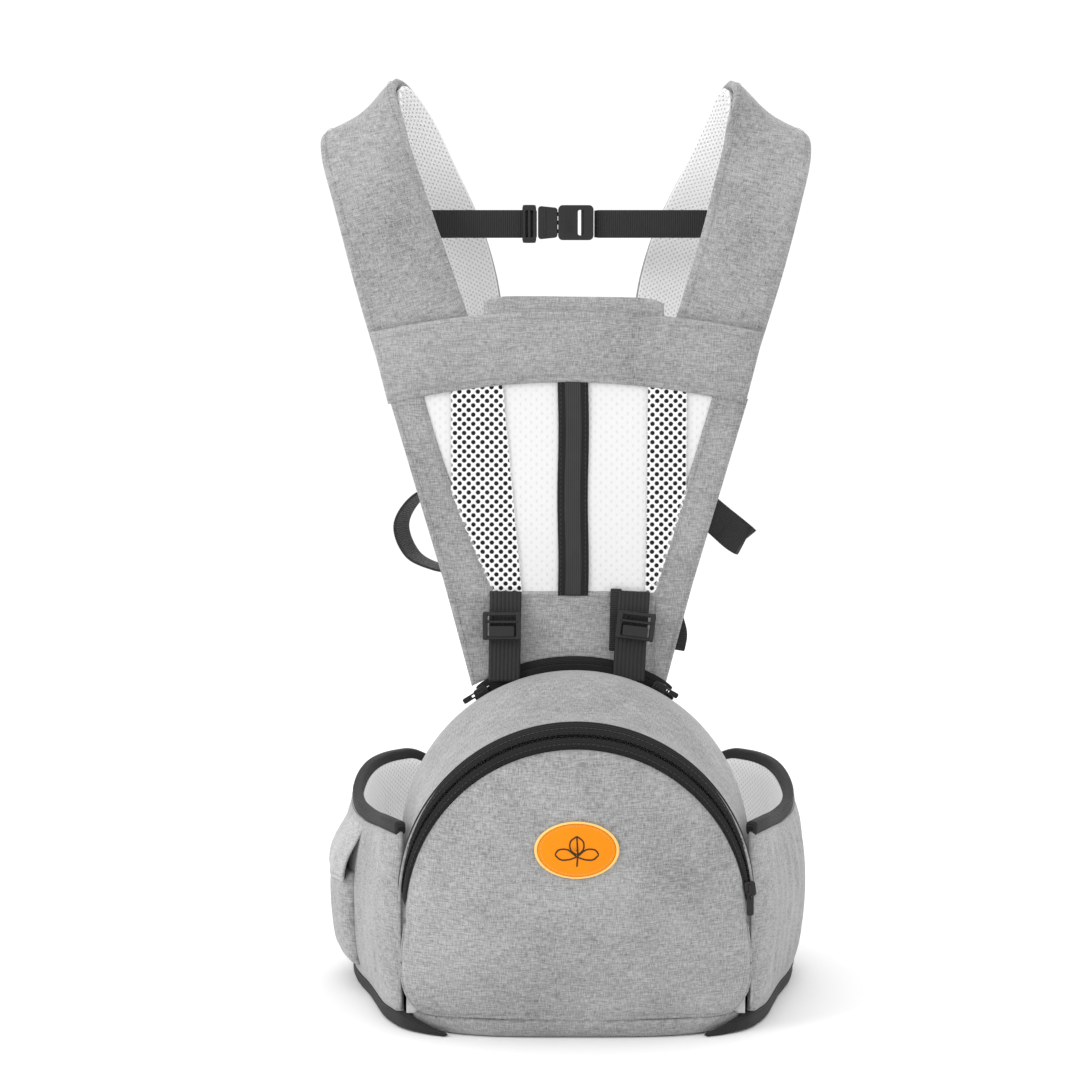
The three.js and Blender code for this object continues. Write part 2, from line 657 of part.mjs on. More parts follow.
// Middle line of the left strap's loop, from the yoke over the crown to its tail behind the panel,
// and the direction across it, from the outer to the inner edge.
const strapPath = [
  [-107, 62.5, 506], [-131, 66, 578], [-148, 70, 628], [-160, 76, 663], [-163, 88, 683], [-156, 104, 692],
  [-143, 122, 678], [-122, 134, 640], [-98, 137, 590], [-85, 130, 546], [-76, 114, 503], [-69, 98, 460],
  [-66, 90, 432],
];
const strapAcross = [
  [0.95, 0, 0.31], [0.95, 0, 0.31], [0.9, 0.04, 0.42], [0.74, 0.12, 0.66], [0.8, 0.1, 0.56], [0.92, 0, 0.36],
  [0.96, 0, 0.25], [0.98, 0, 0.15],
];

// The front halves stand to the left, the left one most at its foot and the right one at its crown.
const crownShare = (z) => clamp01((z - 506) / 180);
const frontShare = (y) => 1 - ease(clamp01((y - 96) / 44));
const leanLeft = ([x, y, z]) => [x + mix(-8.5, -2, crownShare(z) ** 2), y, z];
const leanRight = ([x, y, z]) => [x + mix(1, -12.5, crownShare(z) ** 2.2) * frontShare(y), y, z];

function buildStraps() {
  for (const [label, side] of [["left", 1], ["right", -1]]) {
    const front = (u) => mix(strapFoot[label], strap.width, ease(clamp01(u / 0.36)));
    const widthAt = (u) => mix(front(u), strap.tail, ease(clamp01((u - 0.72) / 0.28)));
    const path = side > 0 ? strapPath.map(leanLeft) : mirrored(strapPath).map(leanRight);
    const across = side > 0 ? strapAcross : mirrored(strapAcross);
    const grey = band(path, across, widthAt, 0, -side * strap.grey, 28, 4);
    addPiece(`shoulder_strap_${label}`, grey, "heather");
    const inside = band(path, across, widthAt, side * strap.part, side * (strap.part + strap.mesh), 28, 4);
    addPiece(`strap_mesh_${label}`, inside, "mesh");
  }
}

function ladderLock(halfX, halfZ, thick) {
  return plate(rectangle(halfX, halfZ, 2), 0, thick, [
    [[-halfX + 3, 2], [halfX - 3, 2], [halfX - 3, halfZ - 3], [-halfX + 3, halfZ - 3]],
    [[-halfX + 3, -halfZ + 3], [halfX - 3, -halfZ + 3], [halfX - 3, -2], [-halfX + 3, -2]],
  ]);
}

function buildUnderarm() {
  const lockZ = 410;
  for (const [label, side] of [["left", -1], ["right", 1]]) {
    const lock = addPiece(`underarm_lock_${label}`, ladderLock(16, 12, 5), "plastic");
    lock.position.set(side * 65.5, 86, lockZ);
  }
  const leftPath = [
    [-66, 70, 398], [-98, 70, 400], [-122, 70, 393], [-137, 70, 370],
    [-128, 70, 346], [-108, 70, 336], [-88, 70, 333],
  ];
  const sideways = [[0.42, 0.9, 0], [0.42, 0.9, 0]];
  const leftWeb = band(leftPath, sideways, webbing.strap, 0, webbing.thick, 16);
  addPiece("underarm_webbing_left", leftWeb, "black");
  const rightPath = [
    [64, 62, 411], [90, 62, 392], [112, 61, 375], [128, 60, 361],
    [135, 62.5, 357], [128, 66, 363], [106, 67, 382],
  ];
  const slanted = [[0.64, 0, 0.77], [0.64, 0, 0.77]];
  const rightWeb = band(rightPath, slanted, webbing.strap, 0, webbing.thick, 18);
  addPiece("underarm_webbing_right", rightWeb, "black");
  addPiece("side_tab_right", block(14, 1.8, 26, 83, panel.y + panel.thick + 2, 284), "black");
}

function buildChestStrap() {
  const y = 90;
  const z = 607;
  const ends = { left: [-124, -29.5], right: [16, 108] };
  for (const [label, [from, to]] of Object.entries(ends)) {
    const web = block(to - from, webbing.thick, webbing.chest, (from + to) / 2, y, z);
    addPiece(`chest_webbing_${label}`, web, "black");
  }
  const tunnel = block(40, 5, 18, -8, 5.5, 0);
  const shell = solidOf(plate(rectangle(14, 14, 3), 0, 11)).subtract(solidOf(tunnel));
  addPiece("chest_buckle_female", geometryOf(shell), "plastic").position.set(1.4, y - 5.5, z + 1);
  const prongs = [-6, 0, 6].map((offset) => solidOf(block(21, 3.4, 3.4, 12, 4.5, offset)));
  const male = prongs.reduce((sum, prong) => sum.add(prong), solidOf(plate(rectangle(7, 13, 2), 0, 9)));
  addPiece("chest_buckle_male", geometryOf(male), "plastic").position.set(-21.6, y - 4.5, z + 1);
  addPiece("chest_triglide", sleeve(11, 7, 30, webbing.chest), "plastic").position.set(-35.5, y, z);
}

function buildAdjusters() {
  for (const [label, side] of [["left", -1], ["right", 1]]) {
    const top = side < 0 ? -54 : 47;
    const lean = side < 0 ? -1 : -4;
    const path = [[top, panel.y - 3, 316], [top + lean / 2, 41, 290], [top + lean, 39.8, 266]];
    const across = [[1, 0, 0], [1, 0, 0]];
    const web = band(path, across, webbing.strap, 0, webbing.thick, 6);
    addPiece(`adjuster_webbing_${label}`, web, "black");
    const lock = addPiece(`adjuster_lock_${label}`, ladderLock(15, 11, 5.5), "plastic");
    lock.position.set(top + (side < 0 ? -3 : 1), 31.5, 293);
  }
}

buildSeat();
buildPouch();
buildBelt();
buildSidePocket();
buildPanel();
buildSeatZip();
buildStraps();
buildUnderarm();
buildChestStrap();
buildAdjusters();

export default group;
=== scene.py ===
import math
import bmesh
import bpy
import numpy as np
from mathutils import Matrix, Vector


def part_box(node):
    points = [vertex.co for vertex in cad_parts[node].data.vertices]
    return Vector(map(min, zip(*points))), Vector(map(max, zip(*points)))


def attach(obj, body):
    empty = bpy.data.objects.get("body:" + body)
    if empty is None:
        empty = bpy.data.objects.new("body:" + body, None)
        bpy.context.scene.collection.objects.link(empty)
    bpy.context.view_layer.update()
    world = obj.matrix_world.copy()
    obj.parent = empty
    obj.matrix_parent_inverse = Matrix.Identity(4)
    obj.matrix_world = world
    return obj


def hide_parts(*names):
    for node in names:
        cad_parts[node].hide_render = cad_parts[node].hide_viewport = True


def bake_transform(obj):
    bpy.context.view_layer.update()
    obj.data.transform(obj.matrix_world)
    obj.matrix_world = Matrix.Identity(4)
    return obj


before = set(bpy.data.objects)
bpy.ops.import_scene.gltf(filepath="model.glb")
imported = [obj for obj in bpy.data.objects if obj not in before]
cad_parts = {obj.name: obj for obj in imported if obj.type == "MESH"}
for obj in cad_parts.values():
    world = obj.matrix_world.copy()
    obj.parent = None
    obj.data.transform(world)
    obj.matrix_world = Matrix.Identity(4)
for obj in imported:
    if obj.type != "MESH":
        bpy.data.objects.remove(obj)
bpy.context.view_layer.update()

mm = 0.001


def lerp(a, b, t):  # a + (b - a) t
    return a + (b - a) * t


def ease(t):  # 3t^2 - 2t^3, held to 0..1
    t = np.clip(t, 0, 1)
    return t * t * (3 - 2 * t)


def unit(v):  # a vector over its own length
    return v / np.maximum(np.linalg.norm(v, axis=-1, keepdims=True), 1e-12)


def crowded(count, share=0.6):  # 0..1 with closer steps near both ends
    x = np.linspace(0, 1, count)
    return lerp(x, 0.5 - 0.5 * np.cos(np.pi * x), share)


def through(points, count):  # Hermite pieces with centripetal knots, then even steps along the length
    p = np.array(points, float)
    p = p[np.concatenate([[True], np.linalg.norm(np.diff(p, axis=0), axis=1) > 1e-6])]
    t = np.concatenate([[0], np.cumsum(np.linalg.norm(np.diff(p, axis=0), axis=1) ** 0.5)])
    slope = np.gradient(p, t, axis=0)
    s = np.linspace(0, t[-1], 60 * len(p))
    k = np.clip(np.searchsorted(t, s, side="right") - 1, 0, len(p) - 2)
    h = (t[k + 1] - t[k])[:, None]
    x = ((s - t[k]) / h[:, 0])[:, None]
    fine = (2 * x**3 - 3 * x**2 + 1) * p[k] + (x**3 - 2 * x**2 + x) * h * slope[k]
    fine += (3 * x**2 - 2 * x**3) * p[k + 1] + (x**3 - x**2) * h * slope[k + 1]
    run = np.concatenate([[0], np.cumsum(np.linalg.norm(np.diff(fine, axis=0), axis=1))])
    even = np.linspace(0, run[-1], count)
    return np.stack([np.interp(even, run, fine[:, i]) for i in range(fine.shape[1])], 1)


def lengths(line):  # distance run along a line of points
    return np.concatenate([[0], np.cumsum(np.linalg.norm(np.diff(line, axis=0), axis=1))])


def bell(x, width):  # exp(-(x / width)^2)
    return np.exp(-((x / width) ** 2))


def points(x, y, z):  # three arrays, stretched to one shape, as points
    return np.stack(np.broadcast_arrays(x, y, z), -1)


def swung(verts, angle):  # turned in the x-z plane
    c, s = math.cos(angle), math.sin(angle)
    return points(verts[:, 0] * c + verts[:, 2] * s, verts[:, 1], verts[:, 2] * c - verts[:, 0] * s)


def surfaceNormals(g):  # cross product of the two grid directions
    return unit(np.cross(np.gradient(g, axis=0), np.gradient(g, axis=1)))


def makeMesh(name, verts, faces, uv=None, sharp=None, merge=True):  # smooth-shaded, all faces outward
    mesh = bpy.data.meshes.new(name)
    mesh.from_pydata(np.asarray(verts).tolist(), [], faces if isinstance(faces, list) else faces.tolist())
    if uv is not None:
        loopVerts = np.empty(len(mesh.loops), np.int32)
        mesh.loops.foreach_get("vertex_index", loopVerts)
        mesh.uv_layers.new(name="cloth").data.foreach_set("uv", np.asarray(uv, np.float32)[loopVerts].ravel())
    bm = bmesh.new()
    bm.from_mesh(mesh)
    if merge:
        bmesh.ops.remove_doubles(bm, verts=bm.verts, dist=2e-6)
    bmesh.ops.recalc_face_normals(bm, faces=bm.faces)
    bm.to_mesh(mesh)
    bm.free()
    mesh.polygons.foreach_set("use_smooth", np.ones(len(mesh.polygons), bool))
    if sharp is not None:
        mesh.set_sharp_from_angle(angle=math.radians(sharp))
    piece = bpy.data.objects.new(name, mesh)
    bpy.context.scene.collection.objects.link(piece)
    return piece


def slabFaces(nu, nv, closeU=False):  # quads of two grids and of the rim between them
    ids = np.arange(2 * nu * nv).reshape(2, nu, nv)
    if closeU:
        ids = np.concatenate([ids, ids[:, :1]], axis=1)
    quads = lambda g: np.stack([g[:-1, :-1], g[1:, :-1], g[1:, 1:], g[:-1, 1:]], -1).reshape(-1, 4)
    strip = lambda a, b: np.stack([a[:-1], a[1:], b[1:], b[:-1]], -1)
    parts = [quads(ids[0]), quads(ids[1])[:, ::-1]]
    parts += [strip(ids[1, :, 0], ids[0, :, 0]), strip(ids[0, :, -1], ids[1, :, -1])]
    if not closeU:
        parts += [strip(ids[0, 0], ids[1, 0]), strip(ids[1, -1], ids[0, -1])]
    return np.concatenate(parts)


def gridUv(face):  # metres along each grid direction, measured on the middle lines
    nu, nv = face.shape[:2]
    u = lengths(face[:, nv // 2])
    v = lengths(face[nu // 2])
    return np.stack(np.meshgrid(u - u[-1] / 2, v, indexing="ij"), -1)


def slab(name, face, back, uv=None, closeU=False):  # two grids and the rim that joins them
    nu, nv = face.shape[:2]
    uv = gridUv(face) if uv is None else uv
    verts = np.concatenate([face.reshape(-1, 3), back.reshape(-1, 3)])
    both = np.concatenate([uv.reshape(-1, 2), uv.reshape(-1, 2)])
    return makeMesh(name, verts, slabFaces(nu, nv, closeU), both)


def edgeDistance(face):  # metres from each grid point to the nearest of the four edges
    def across(g):
        steps = np.linalg.norm(np.diff(g, axis=0), axis=2)
        run = np.concatenate([np.zeros((1, g.shape[1])), np.cumsum(steps, 0)])
        return np.minimum(run, run[-1:] - run)
    return np.minimum(across(face), across(face.transpose(1, 0, 2)).T)


def padProfile(distance, radius):  # quarter-round edge: sqrt(1 - (1 - d/r)^2)
    return np.sqrt(1 - (1 - np.clip(distance / radius, 0, 1)) ** 2)


def padHalf(distance, full, radius, seam=None, seamDepth=0.0):
    # half-thickness: 12 % at the edge, full inside the radius, less a sewn groove of 1.3 mm
    half = full * (0.12 + 0.88 * padProfile(distance, radius))
    if seam is not None:
        half = half - seamDepth * bell(distance - seam, 1.3 * mm)
    return half


puffs = []
puffing = {"pressure": 4.0, "frames": 20, "bend": 1.5, "mass": 0.3}


def puffLater(piece, rim, hold, cap):  # held near its rim, free to swell up to a cap elsewhere
    puffs.append((piece, np.asarray(rim).reshape(-1, 3), hold, cap))


def rimOf(grid):  # the four edge rows of a grid
    return np.concatenate([grid[0], grid[-1], grid[:, 0], grid[:, -1]])


def puffAll():
    # blow every padded piece up from inside as cloth, then keep each point's travel d as cap * tanh(d / cap)
    scene = bpy.context.scene
    scene.frame_start, scene.frame_end = 1, puffing["frames"]
    starts = []
    for piece, rim, hold, _ in puffs:
        before = np.empty(len(piece.data.vertices) * 3)
        piece.data.vertices.foreach_get("co", before)
        before = before.reshape(-1, 3)
        away = np.full(len(before), np.inf)
        for part in np.array_split(rim, max(1, len(rim) // 200)):
            away = np.minimum(away, np.linalg.norm(before[:, None] - part[None], axis=2).min(1))
        sewn = piece.vertex_groups.new(name="sewn")
        sewn.add(np.nonzero(away < hold)[0].tolist(), 1.0, "REPLACE")
        cloth = piece.modifiers.new("puff", "CLOTH")
        cloth.settings.quality = 4
        cloth.settings.mass = puffing["mass"]
        cloth.settings.bending_stiffness = puffing["bend"]
        cloth.settings.use_pressure = True
        cloth.settings.uniform_pressure_force = puffing["pressure"]
        cloth.settings.vertex_group_mass = "sewn"
        cloth.settings.effector_weights.gravity = 0
        cloth.collision_settings.use_collision = False
        cloth.point_cache.frame_end = puffing["frames"]
        starts.append(before)
    for number in range(1, puffing["frames"] + 1):
        scene.frame_set(number)
    graph = bpy.context.evaluated_depsgraph_get()
    kept = []
    for (piece, _, _, cap), before in zip(puffs, starts):
        after = np.empty(before.size)
        piece.evaluated_get(graph).data.vertices.foreach_get("co", after)
        travel = after.reshape(-1, 3) - before
        d = np.linalg.norm(travel, axis=1, keepdims=True)
        kept.append(before + travel * (cap * np.tanh(d / cap) / np.maximum(d, 1e-9)))
        print(f"puffed {piece.name}: {d.mean() * 1000:.2f} mm on average before the cap")
    for (piece, *_), swollen in zip(puffs, kept):
        piece.modifiers.clear()
        piece.vertex_groups.clear()
        piece.data.vertices.foreach_set("co", swollen.ravel())
        piece.data.update()
    scene.frame_set(1)


def pad(name, middle, out, inn, radius, seam=None, seamDepth=0.0, flip=False, uv=None, puff=None):
    # a pad on a middle surface: out in front of it and inn behind, both falling to the edge
    normal = surfaceNormals(middle) * (-1 if flip else 1)
    d = edgeDistance(middle)
    front = middle + normal * padHalf(d, out, radius, seam, seamDepth)[..., None]
    back = middle - normal * padHalf(d, inn, radius)[..., None]
    piece = slab(name, front, back, uv if uv is not None else gridUv(middle))
    if puff is not None:
        puffLater(piece, rimOf(middle), puff[0], puff[1])
    return piece, front


def roundSection(count, power):  # superellipse |x|^p + |y|^p = 1
    a = np.linspace(0, 2 * np.pi, count, endpoint=False)
    c, s = np.cos(a), np.sin(a)
    r = (np.abs(c) ** power + np.abs(s) ** power) ** (-1 / power)
    return np.stack([c * r, s * r], 1)


def band(name, path, side, width, thick, power=6, count=28, lift=0.0, taper=None):
    # a closed band: a superellipse section carried along a path, drawn in at both ends
    path = np.asarray(path, float)
    n = len(path)
    along = unit(np.gradient(path, axis=0))
    side = np.broadcast_to(np.asarray(side, float), path.shape)
    side = unit(side - along * np.sum(side * along, 1, keepdims=True))
    normal = np.cross(along, side)
    run = lengths(path)
    sec = roundSection(count, power)
    width = np.broadcast_to(width, n)
    thick = np.broadcast_to(thick, n)
    if taper is None:
        taper = 0.35 * float(thick.max())
    ends = padProfile(np.minimum(run, run[-1] - run), max(taper, 1e-5)) * 0.75 + 0.25
    x = sec[None, :, 0] * (width / 2 - (1 - ends) * taper)[:, None]
    y = sec[None, :, 1] * (thick / 2 * ends)[:, None] + np.broadcast_to(lift, n)[:, None]
    rings = path[:, None] + side[:, None] * x[..., None] + normal[:, None] * y[..., None]
    m = len(sec)
    ids = np.arange(n * m).reshape(n, m)
    wrap = np.concatenate([ids, ids[:, :1]], 1)
    quads = np.stack([wrap[:-1, :-1], wrap[1:, :-1], wrap[1:, 1:], wrap[:-1, 1:]], -1).reshape(-1, 4)
    faces = quads.tolist() + [ids[0][::-1].tolist(), ids[-1].tolist()]
    uv = np.stack([x, np.broadcast_to(run[:, None], x.shape)], -1).reshape(-1, 2)
    return makeMesh(name, rings.reshape(-1, 3), faces, uv, merge=False)


def prism(outline, y0, y1, hole=None):  # an (x, z) outline drawn out along y, with an optional hole
    a = np.asarray(outline, float)
    n = len(a)
    at = lambda pts, y: np.stack([pts[:, 0], np.full(len(pts), y), pts[:, 1]], 1)
    ring = np.arange(n)
    nxt = np.roll(ring, -1)
    if hole is None:
        verts = np.concatenate([at(a, y0), at(a, y1)])
        sides = np.stack([ring, nxt, nxt + n, ring + n], 1).tolist()
        return verts, sides + [ring[::-1].tolist(), (ring + n).tolist()]
    b = np.asarray(hole, float)
    verts = np.concatenate([at(a, y0), at(a, y1), at(b, y0), at(b, y1)])
    between = lambda i, j: np.stack([ring + i * n, nxt + i * n, nxt + j * n, ring + j * n], 1)
    return verts, np.concatenate([between(0, 1), between(3, 2), between(2, 0), between(1, 3)]).tolist()


def roundRect(halfX, halfZ, corner, cx=0.0, cz=0.0, each=5):  # a quarter circle at each corner
    a = np.linspace(0, np.pi / 2, each)
    parts = []
    for k, (sx, sz) in enumerate([(1, 1), (-1, 1), (-1, -1), (1, -1)]):
        q = a + k * np.pi / 2
        x = cx + sx * (halfX - corner) + corner * np.cos(q)
        z = cz + sz * (halfZ - corner) + corner * np.sin(q)
        parts.append(np.stack([x, z], 1))
    return np.concatenate(parts)


def block(halfX, halfZ, corner, y0, y1, cx=0.0, cz=0.0):  # a round-cornered plate between two depths
    return prism(roundRect(halfX, halfZ, corner, cx, cz), y0, y1)


def joined(parts):  # several (verts, faces) as one
    verts, faces, start = [], [], 0
    for v, f in parts:
        verts.append(v)
        faces += [[i + start for i in face] for face in f]
        start += len(v)
    return np.concatenate(verts), faces


def moulded(name, parts, at, bevel=0.5 * mm, segments=2):  # hard pieces: prisms with rounded edges
    verts, faces = joined(parts)
    piece = makeMesh(name, verts + np.asarray(at, float), faces, sharp=38, merge=False)
    mod = piece.modifiers.new("roundedEdges", "BEVEL")
    mod.width = bevel
    mod.segments = segments
    mod.limit_method = "ANGLE"
    mod.angle_limit = math.radians(38)
    return piece


class Wire:  # a socket that adds Math nodes when it is used in an expression
    def __init__(self, maker, socket):
        self.maker, self.socket = maker, socket

    def maths(self, operation, *others):
        return self.maker.node("ShaderNodeMath", {"operation": operation}, dict(enumerate([self, *others])))

    def __add__(self, other):
        return self.maths("ADD", other)

    def __radd__(self, other):
        return self.maths("ADD", other)

    def __sub__(self, other):
        return self.maths("SUBTRACT", other)

    def __mul__(self, other):
        return self.maths("MULTIPLY", other)

    def __rmul__(self, other):
        return self.maths("MULTIPLY", other)

    def __truediv__(self, other):
        return self.maths("DIVIDE", other)

    def __pow__(self, other):
        return self.maths("POWER", other)

    def __rsub__(self, other):
        return self.maker.node("ShaderNodeMath", {"operation": "SUBTRACT"}, {0: other, 1: self})


class Finish:  # one material and the nodes in it
    def __init__(self, name, **fixed):
        self.material = bpy.data.materials.new(name)
        self.material.use_nodes = True
        self.tree = self.material.node_tree
        self.shader = self.tree.nodes["Principled BSDF"]
        for socket, value in fixed.items():
            self.shader.inputs[socket.replace("_", " ")].default_value = value

    def node(self, kind, settings=None, inputs=None, output=0):
        made = self.tree.nodes.new(kind)
        for key, value in (settings or {}).items():
            if key == "stops":
                ramp = made.color_ramp
                while len(ramp.elements) < len(value):
                    ramp.elements.new(0.5)
                for element, (place, colour) in zip(ramp.elements, value):
                    element.position = place
                    element.color = colour
            else:
                setattr(made, key, value)
        for key, value in (inputs or {}).items():
            if isinstance(value, Wire):
                self.tree.links.new(value.socket, made.inputs[key])
            else:
                made.inputs[key].default_value = value
        return Wire(self, made.outputs[output])

    def feed(self, name, wire):
        self.tree.links.new(wire.socket, self.shader.inputs[name])

    def cloth(self):  # metres across and along the piece
        uv = self.node("ShaderNodeUVMap", {"uv_map": "cloth"})
        return [self.node("ShaderNodeSeparateXYZ", None, {0: uv}, output) for output in (0, 1)]

    def place(self):
        return self.node("ShaderNodeTexCoord", None, None, "Object")

    def noise(self, vector, scale, detail=3.0, roughness=0.55):
        inputs = {"Vector": vector, "Scale": scale, "Detail": detail, "Roughness": roughness}
        return self.node("ShaderNodeTexNoise", None, inputs)

    def at(self, x, y, z=0.0):
        return self.node("ShaderNodeCombineXYZ", None, {0: x, 1: y, 2: z})

    def mixed(self, factor, a, b):
        return self.node("ShaderNodeMix", {"data_type": "RGBA"}, {0: factor, 6: a, 7: b}, 2)

    def bump(self, height, strength, distance):
        inputs = {"Strength": strength, "Distance": distance, "Height": height}
        self.feed("Normal", self.node("ShaderNodeBump", None, inputs))


def grey(value, warm=0.0):  # red raised and blue lowered by the share warm
    return (value * (1 + warm), value, value * (1 - warm), 1)


heather = {
    "dark": 0.125, "light": 0.46, "yarn": 0.8 * mm, "slub": 5.5 * mm, "weave": 1.5 * mm, "cloud": 13.0,
    "mottle": 34.0, "sheen": 0.25,
}


def heatherFinish(name, tone=1.0):
    # crossing streaks of pale and dark yarn: two stretched noises, one along each thread direction
    f = Finish(name, Roughness=0.92, Sheen_Weight=heather["sheen"], Sheen_Roughness=0.5)
    across, along = f.cloth()
    yarn, slub = 1 / heather["yarn"], 1 / heather["slub"]
    warp = f.noise(f.at(across * yarn, along * slub), 1.0, 2.0)
    weft = f.noise(f.at(across * slub, along * yarn, 7.3), 1.0, 2.0)
    grain = f.noise(f.at(across * yarn, along * yarn, 3.1), 1.1, 2.0)
    mottle = f.noise(f.place(), heather["mottle"], 3.0)
    mass = warp * 0.36 + weft * 0.36 + grain * 0.18 + mottle * 0.1
    spread = f.node("ShaderNodeMapRange", {"clamp": True}, {0: mass, 1: 0.36, 2: 0.64})
    cloud = f.noise(f.place(), heather["cloud"], 2.0)
    spread = (spread * 0.9 + cloud * 0.5 - 0.2).maths("MINIMUM", 1.0).maths("MAXIMUM", 0.0)
    colour = f.mixed(spread, grey(heather["dark"] * tone), grey(heather["light"] * tone, -0.004))
    f.feed("Base Color", colour)
    k = 2 * math.pi / heather["weave"]
    weave = (across * k).maths("SINE") * (along * k).maths("SINE")
    f.feed("Roughness", 0.97 - spread * 0.12)
    f.bump(weave * 0.3 + warp * 0.7 + weft * 0.7, 0.5, 0.35 * mm)
    return f.material


def meshFinish(name, tone=0.9, pitch=2.6 * mm, dimpleShadeTone=0.42, holes=0.8, relief=0.8):
    # spacer mesh: rows of small round dimples, each row shifted half a pitch, darkened in the colour as
    # painted shade
    f = Finish(name, Roughness=0.8, Sheen_Weight=0.15)
    across, along = f.cloth()
    k = 2 * math.pi / pitch
    shifted = (along * (k * 0.577)).maths("COSINE") * (across * (k / 2)).maths("COSINE")
    wave = (across * k).maths("COSINE") + shifted * 2
    dimple = f.node("ShaderNodeMapRange", {"clamp": True}, {0: wave, 1: 1.1, 2: 2.6})
    fuzz = f.noise(f.at(across * 900, along * 900), 1.0, 2.0)
    # painted shade: the colour is darkened inside the dimples
    shade = f.mixed(dimple * holes, grey(tone), grey(tone * dimpleShadeTone))
    f.feed("Base Color", f.mixed(fuzz * 0.12, shade, grey(tone * 0.8)))
    f.bump(1 - dimple + fuzz * 0.15, relief, 0.7 * mm)
    return f.material


def webbingFinish(name, tone=0.011, rib=1.7 * mm, ribs="along", strength=0.9, gloss=0.55):
    # woven ribs: |sin| of the distance, crossed by a finer weft; the colour is paler on the rib tops and
    # darker in the grooves as painted light and shade, with a random tone from one noise
    f = Finish(name, Roughness=gloss, Sheen_Weight=0.06, Specular_IOR_Level=0.35)
    across, along = f.cloth()
    main, other = (along, across) if ribs == "along" else (across, along)
    ridge = (main * (math.pi / rib)).maths("SINE").maths("ABSOLUTE")
    weft = (other * (math.pi / (rib * 0.45))).maths("SINE").maths("ABSOLUTE")
    dust = f.noise(f.place(), 60.0, 3.0)
    # painted light and shade: rib tops paler, grooves darker, mixed with a random dust tone
    pale = f.mixed(ridge * 0.5 + dust * 0.3, grey(tone * 0.55), grey(tone * 1.9))
    f.feed("Base Color", pale)
    f.feed("Roughness", gloss + (1 - ridge) * 0.25)
    f.bump(ridge * 0.8 + weft * 0.25, strength, 0.5 * mm)
    return f.material


def plasticFinish(name, tone=0.007, rough=0.3, shine=0.4):  # fine grain and larger scuffs, both noises
    f = Finish(name, Specular_IOR_Level=shine, Coat_Weight=0.05, Coat_Roughness=0.25)
    texture = f.noise(f.place(), 1400.0, 2.0)
    scuff = f.noise(f.place(), 90.0, 4.0)
    f.feed("Base Color", f.mixed(scuff, grey(tone * 0.8), grey(tone * 1.5)))
    f.feed("Roughness", rough + scuff * 0.18)
    f.bump(texture, 0.12, 0.1 * mm)
    return f.material


def metalFinish(name, tone):  # scuffed by one noise
    f = Finish(name, Metallic=1.0)
    scuff = f.noise(f.place(), 300.0, 4.0)
    f.feed("Base Color", f.mixed(scuff, grey(tone * 0.7, 0.02), grey(tone * 1.4, 0.02)))
    f.feed("Roughness", 0.22 + scuff * 0.25)
    return f.material


def leatherFinish(name, colour, edge):  # cells of a Voronoi grain, clouded between two colours
    f = Finish(name, Specular_IOR_Level=0.2)
    grain = {"Vector": f.place(), "Scale": 1100.0}
    cells = f.node("ShaderNodeTexVoronoi", {"feature": "DISTANCE_TO_EDGE"}, grain)
    cloud = f.noise(f.place(), 70.0, 4.0)
    f.feed("Base Color", f.mixed(cloud * 0.6, colour, edge))
    f.feed("Roughness", 0.42 + cloud * 0.2)
    f.bump(cells, 0.25, 0.25 * mm)
    return f.material


def foamFinish(name):  # round beads, darker towards each bead's edge as painted shade between the beads
    f = Finish(name, Roughness=0.9)
    beads = f.node("ShaderNodeTexVoronoi", None, {"Vector": f.place(), "Scale": 320.0})
    f.feed("Base Color", f.mixed(beads, grey(0.75), grey(0.6)))
    f.bump(beads, 0.4, 0.5 * mm)
    return f.material


def threadFinish(name, tone, warm=0.0):  # fine twist
    f = Finish(name, Sheen_Weight=0.2)
    twist = f.noise(f.place(), 1500.0, 2.0)
    f.feed("Base Color", f.mixed(twist, grey(tone * 0.75, warm), grey(tone * 1.2, warm)))
    f.feed("Roughness", 0.6 + twist * 0.2)
    return f.material


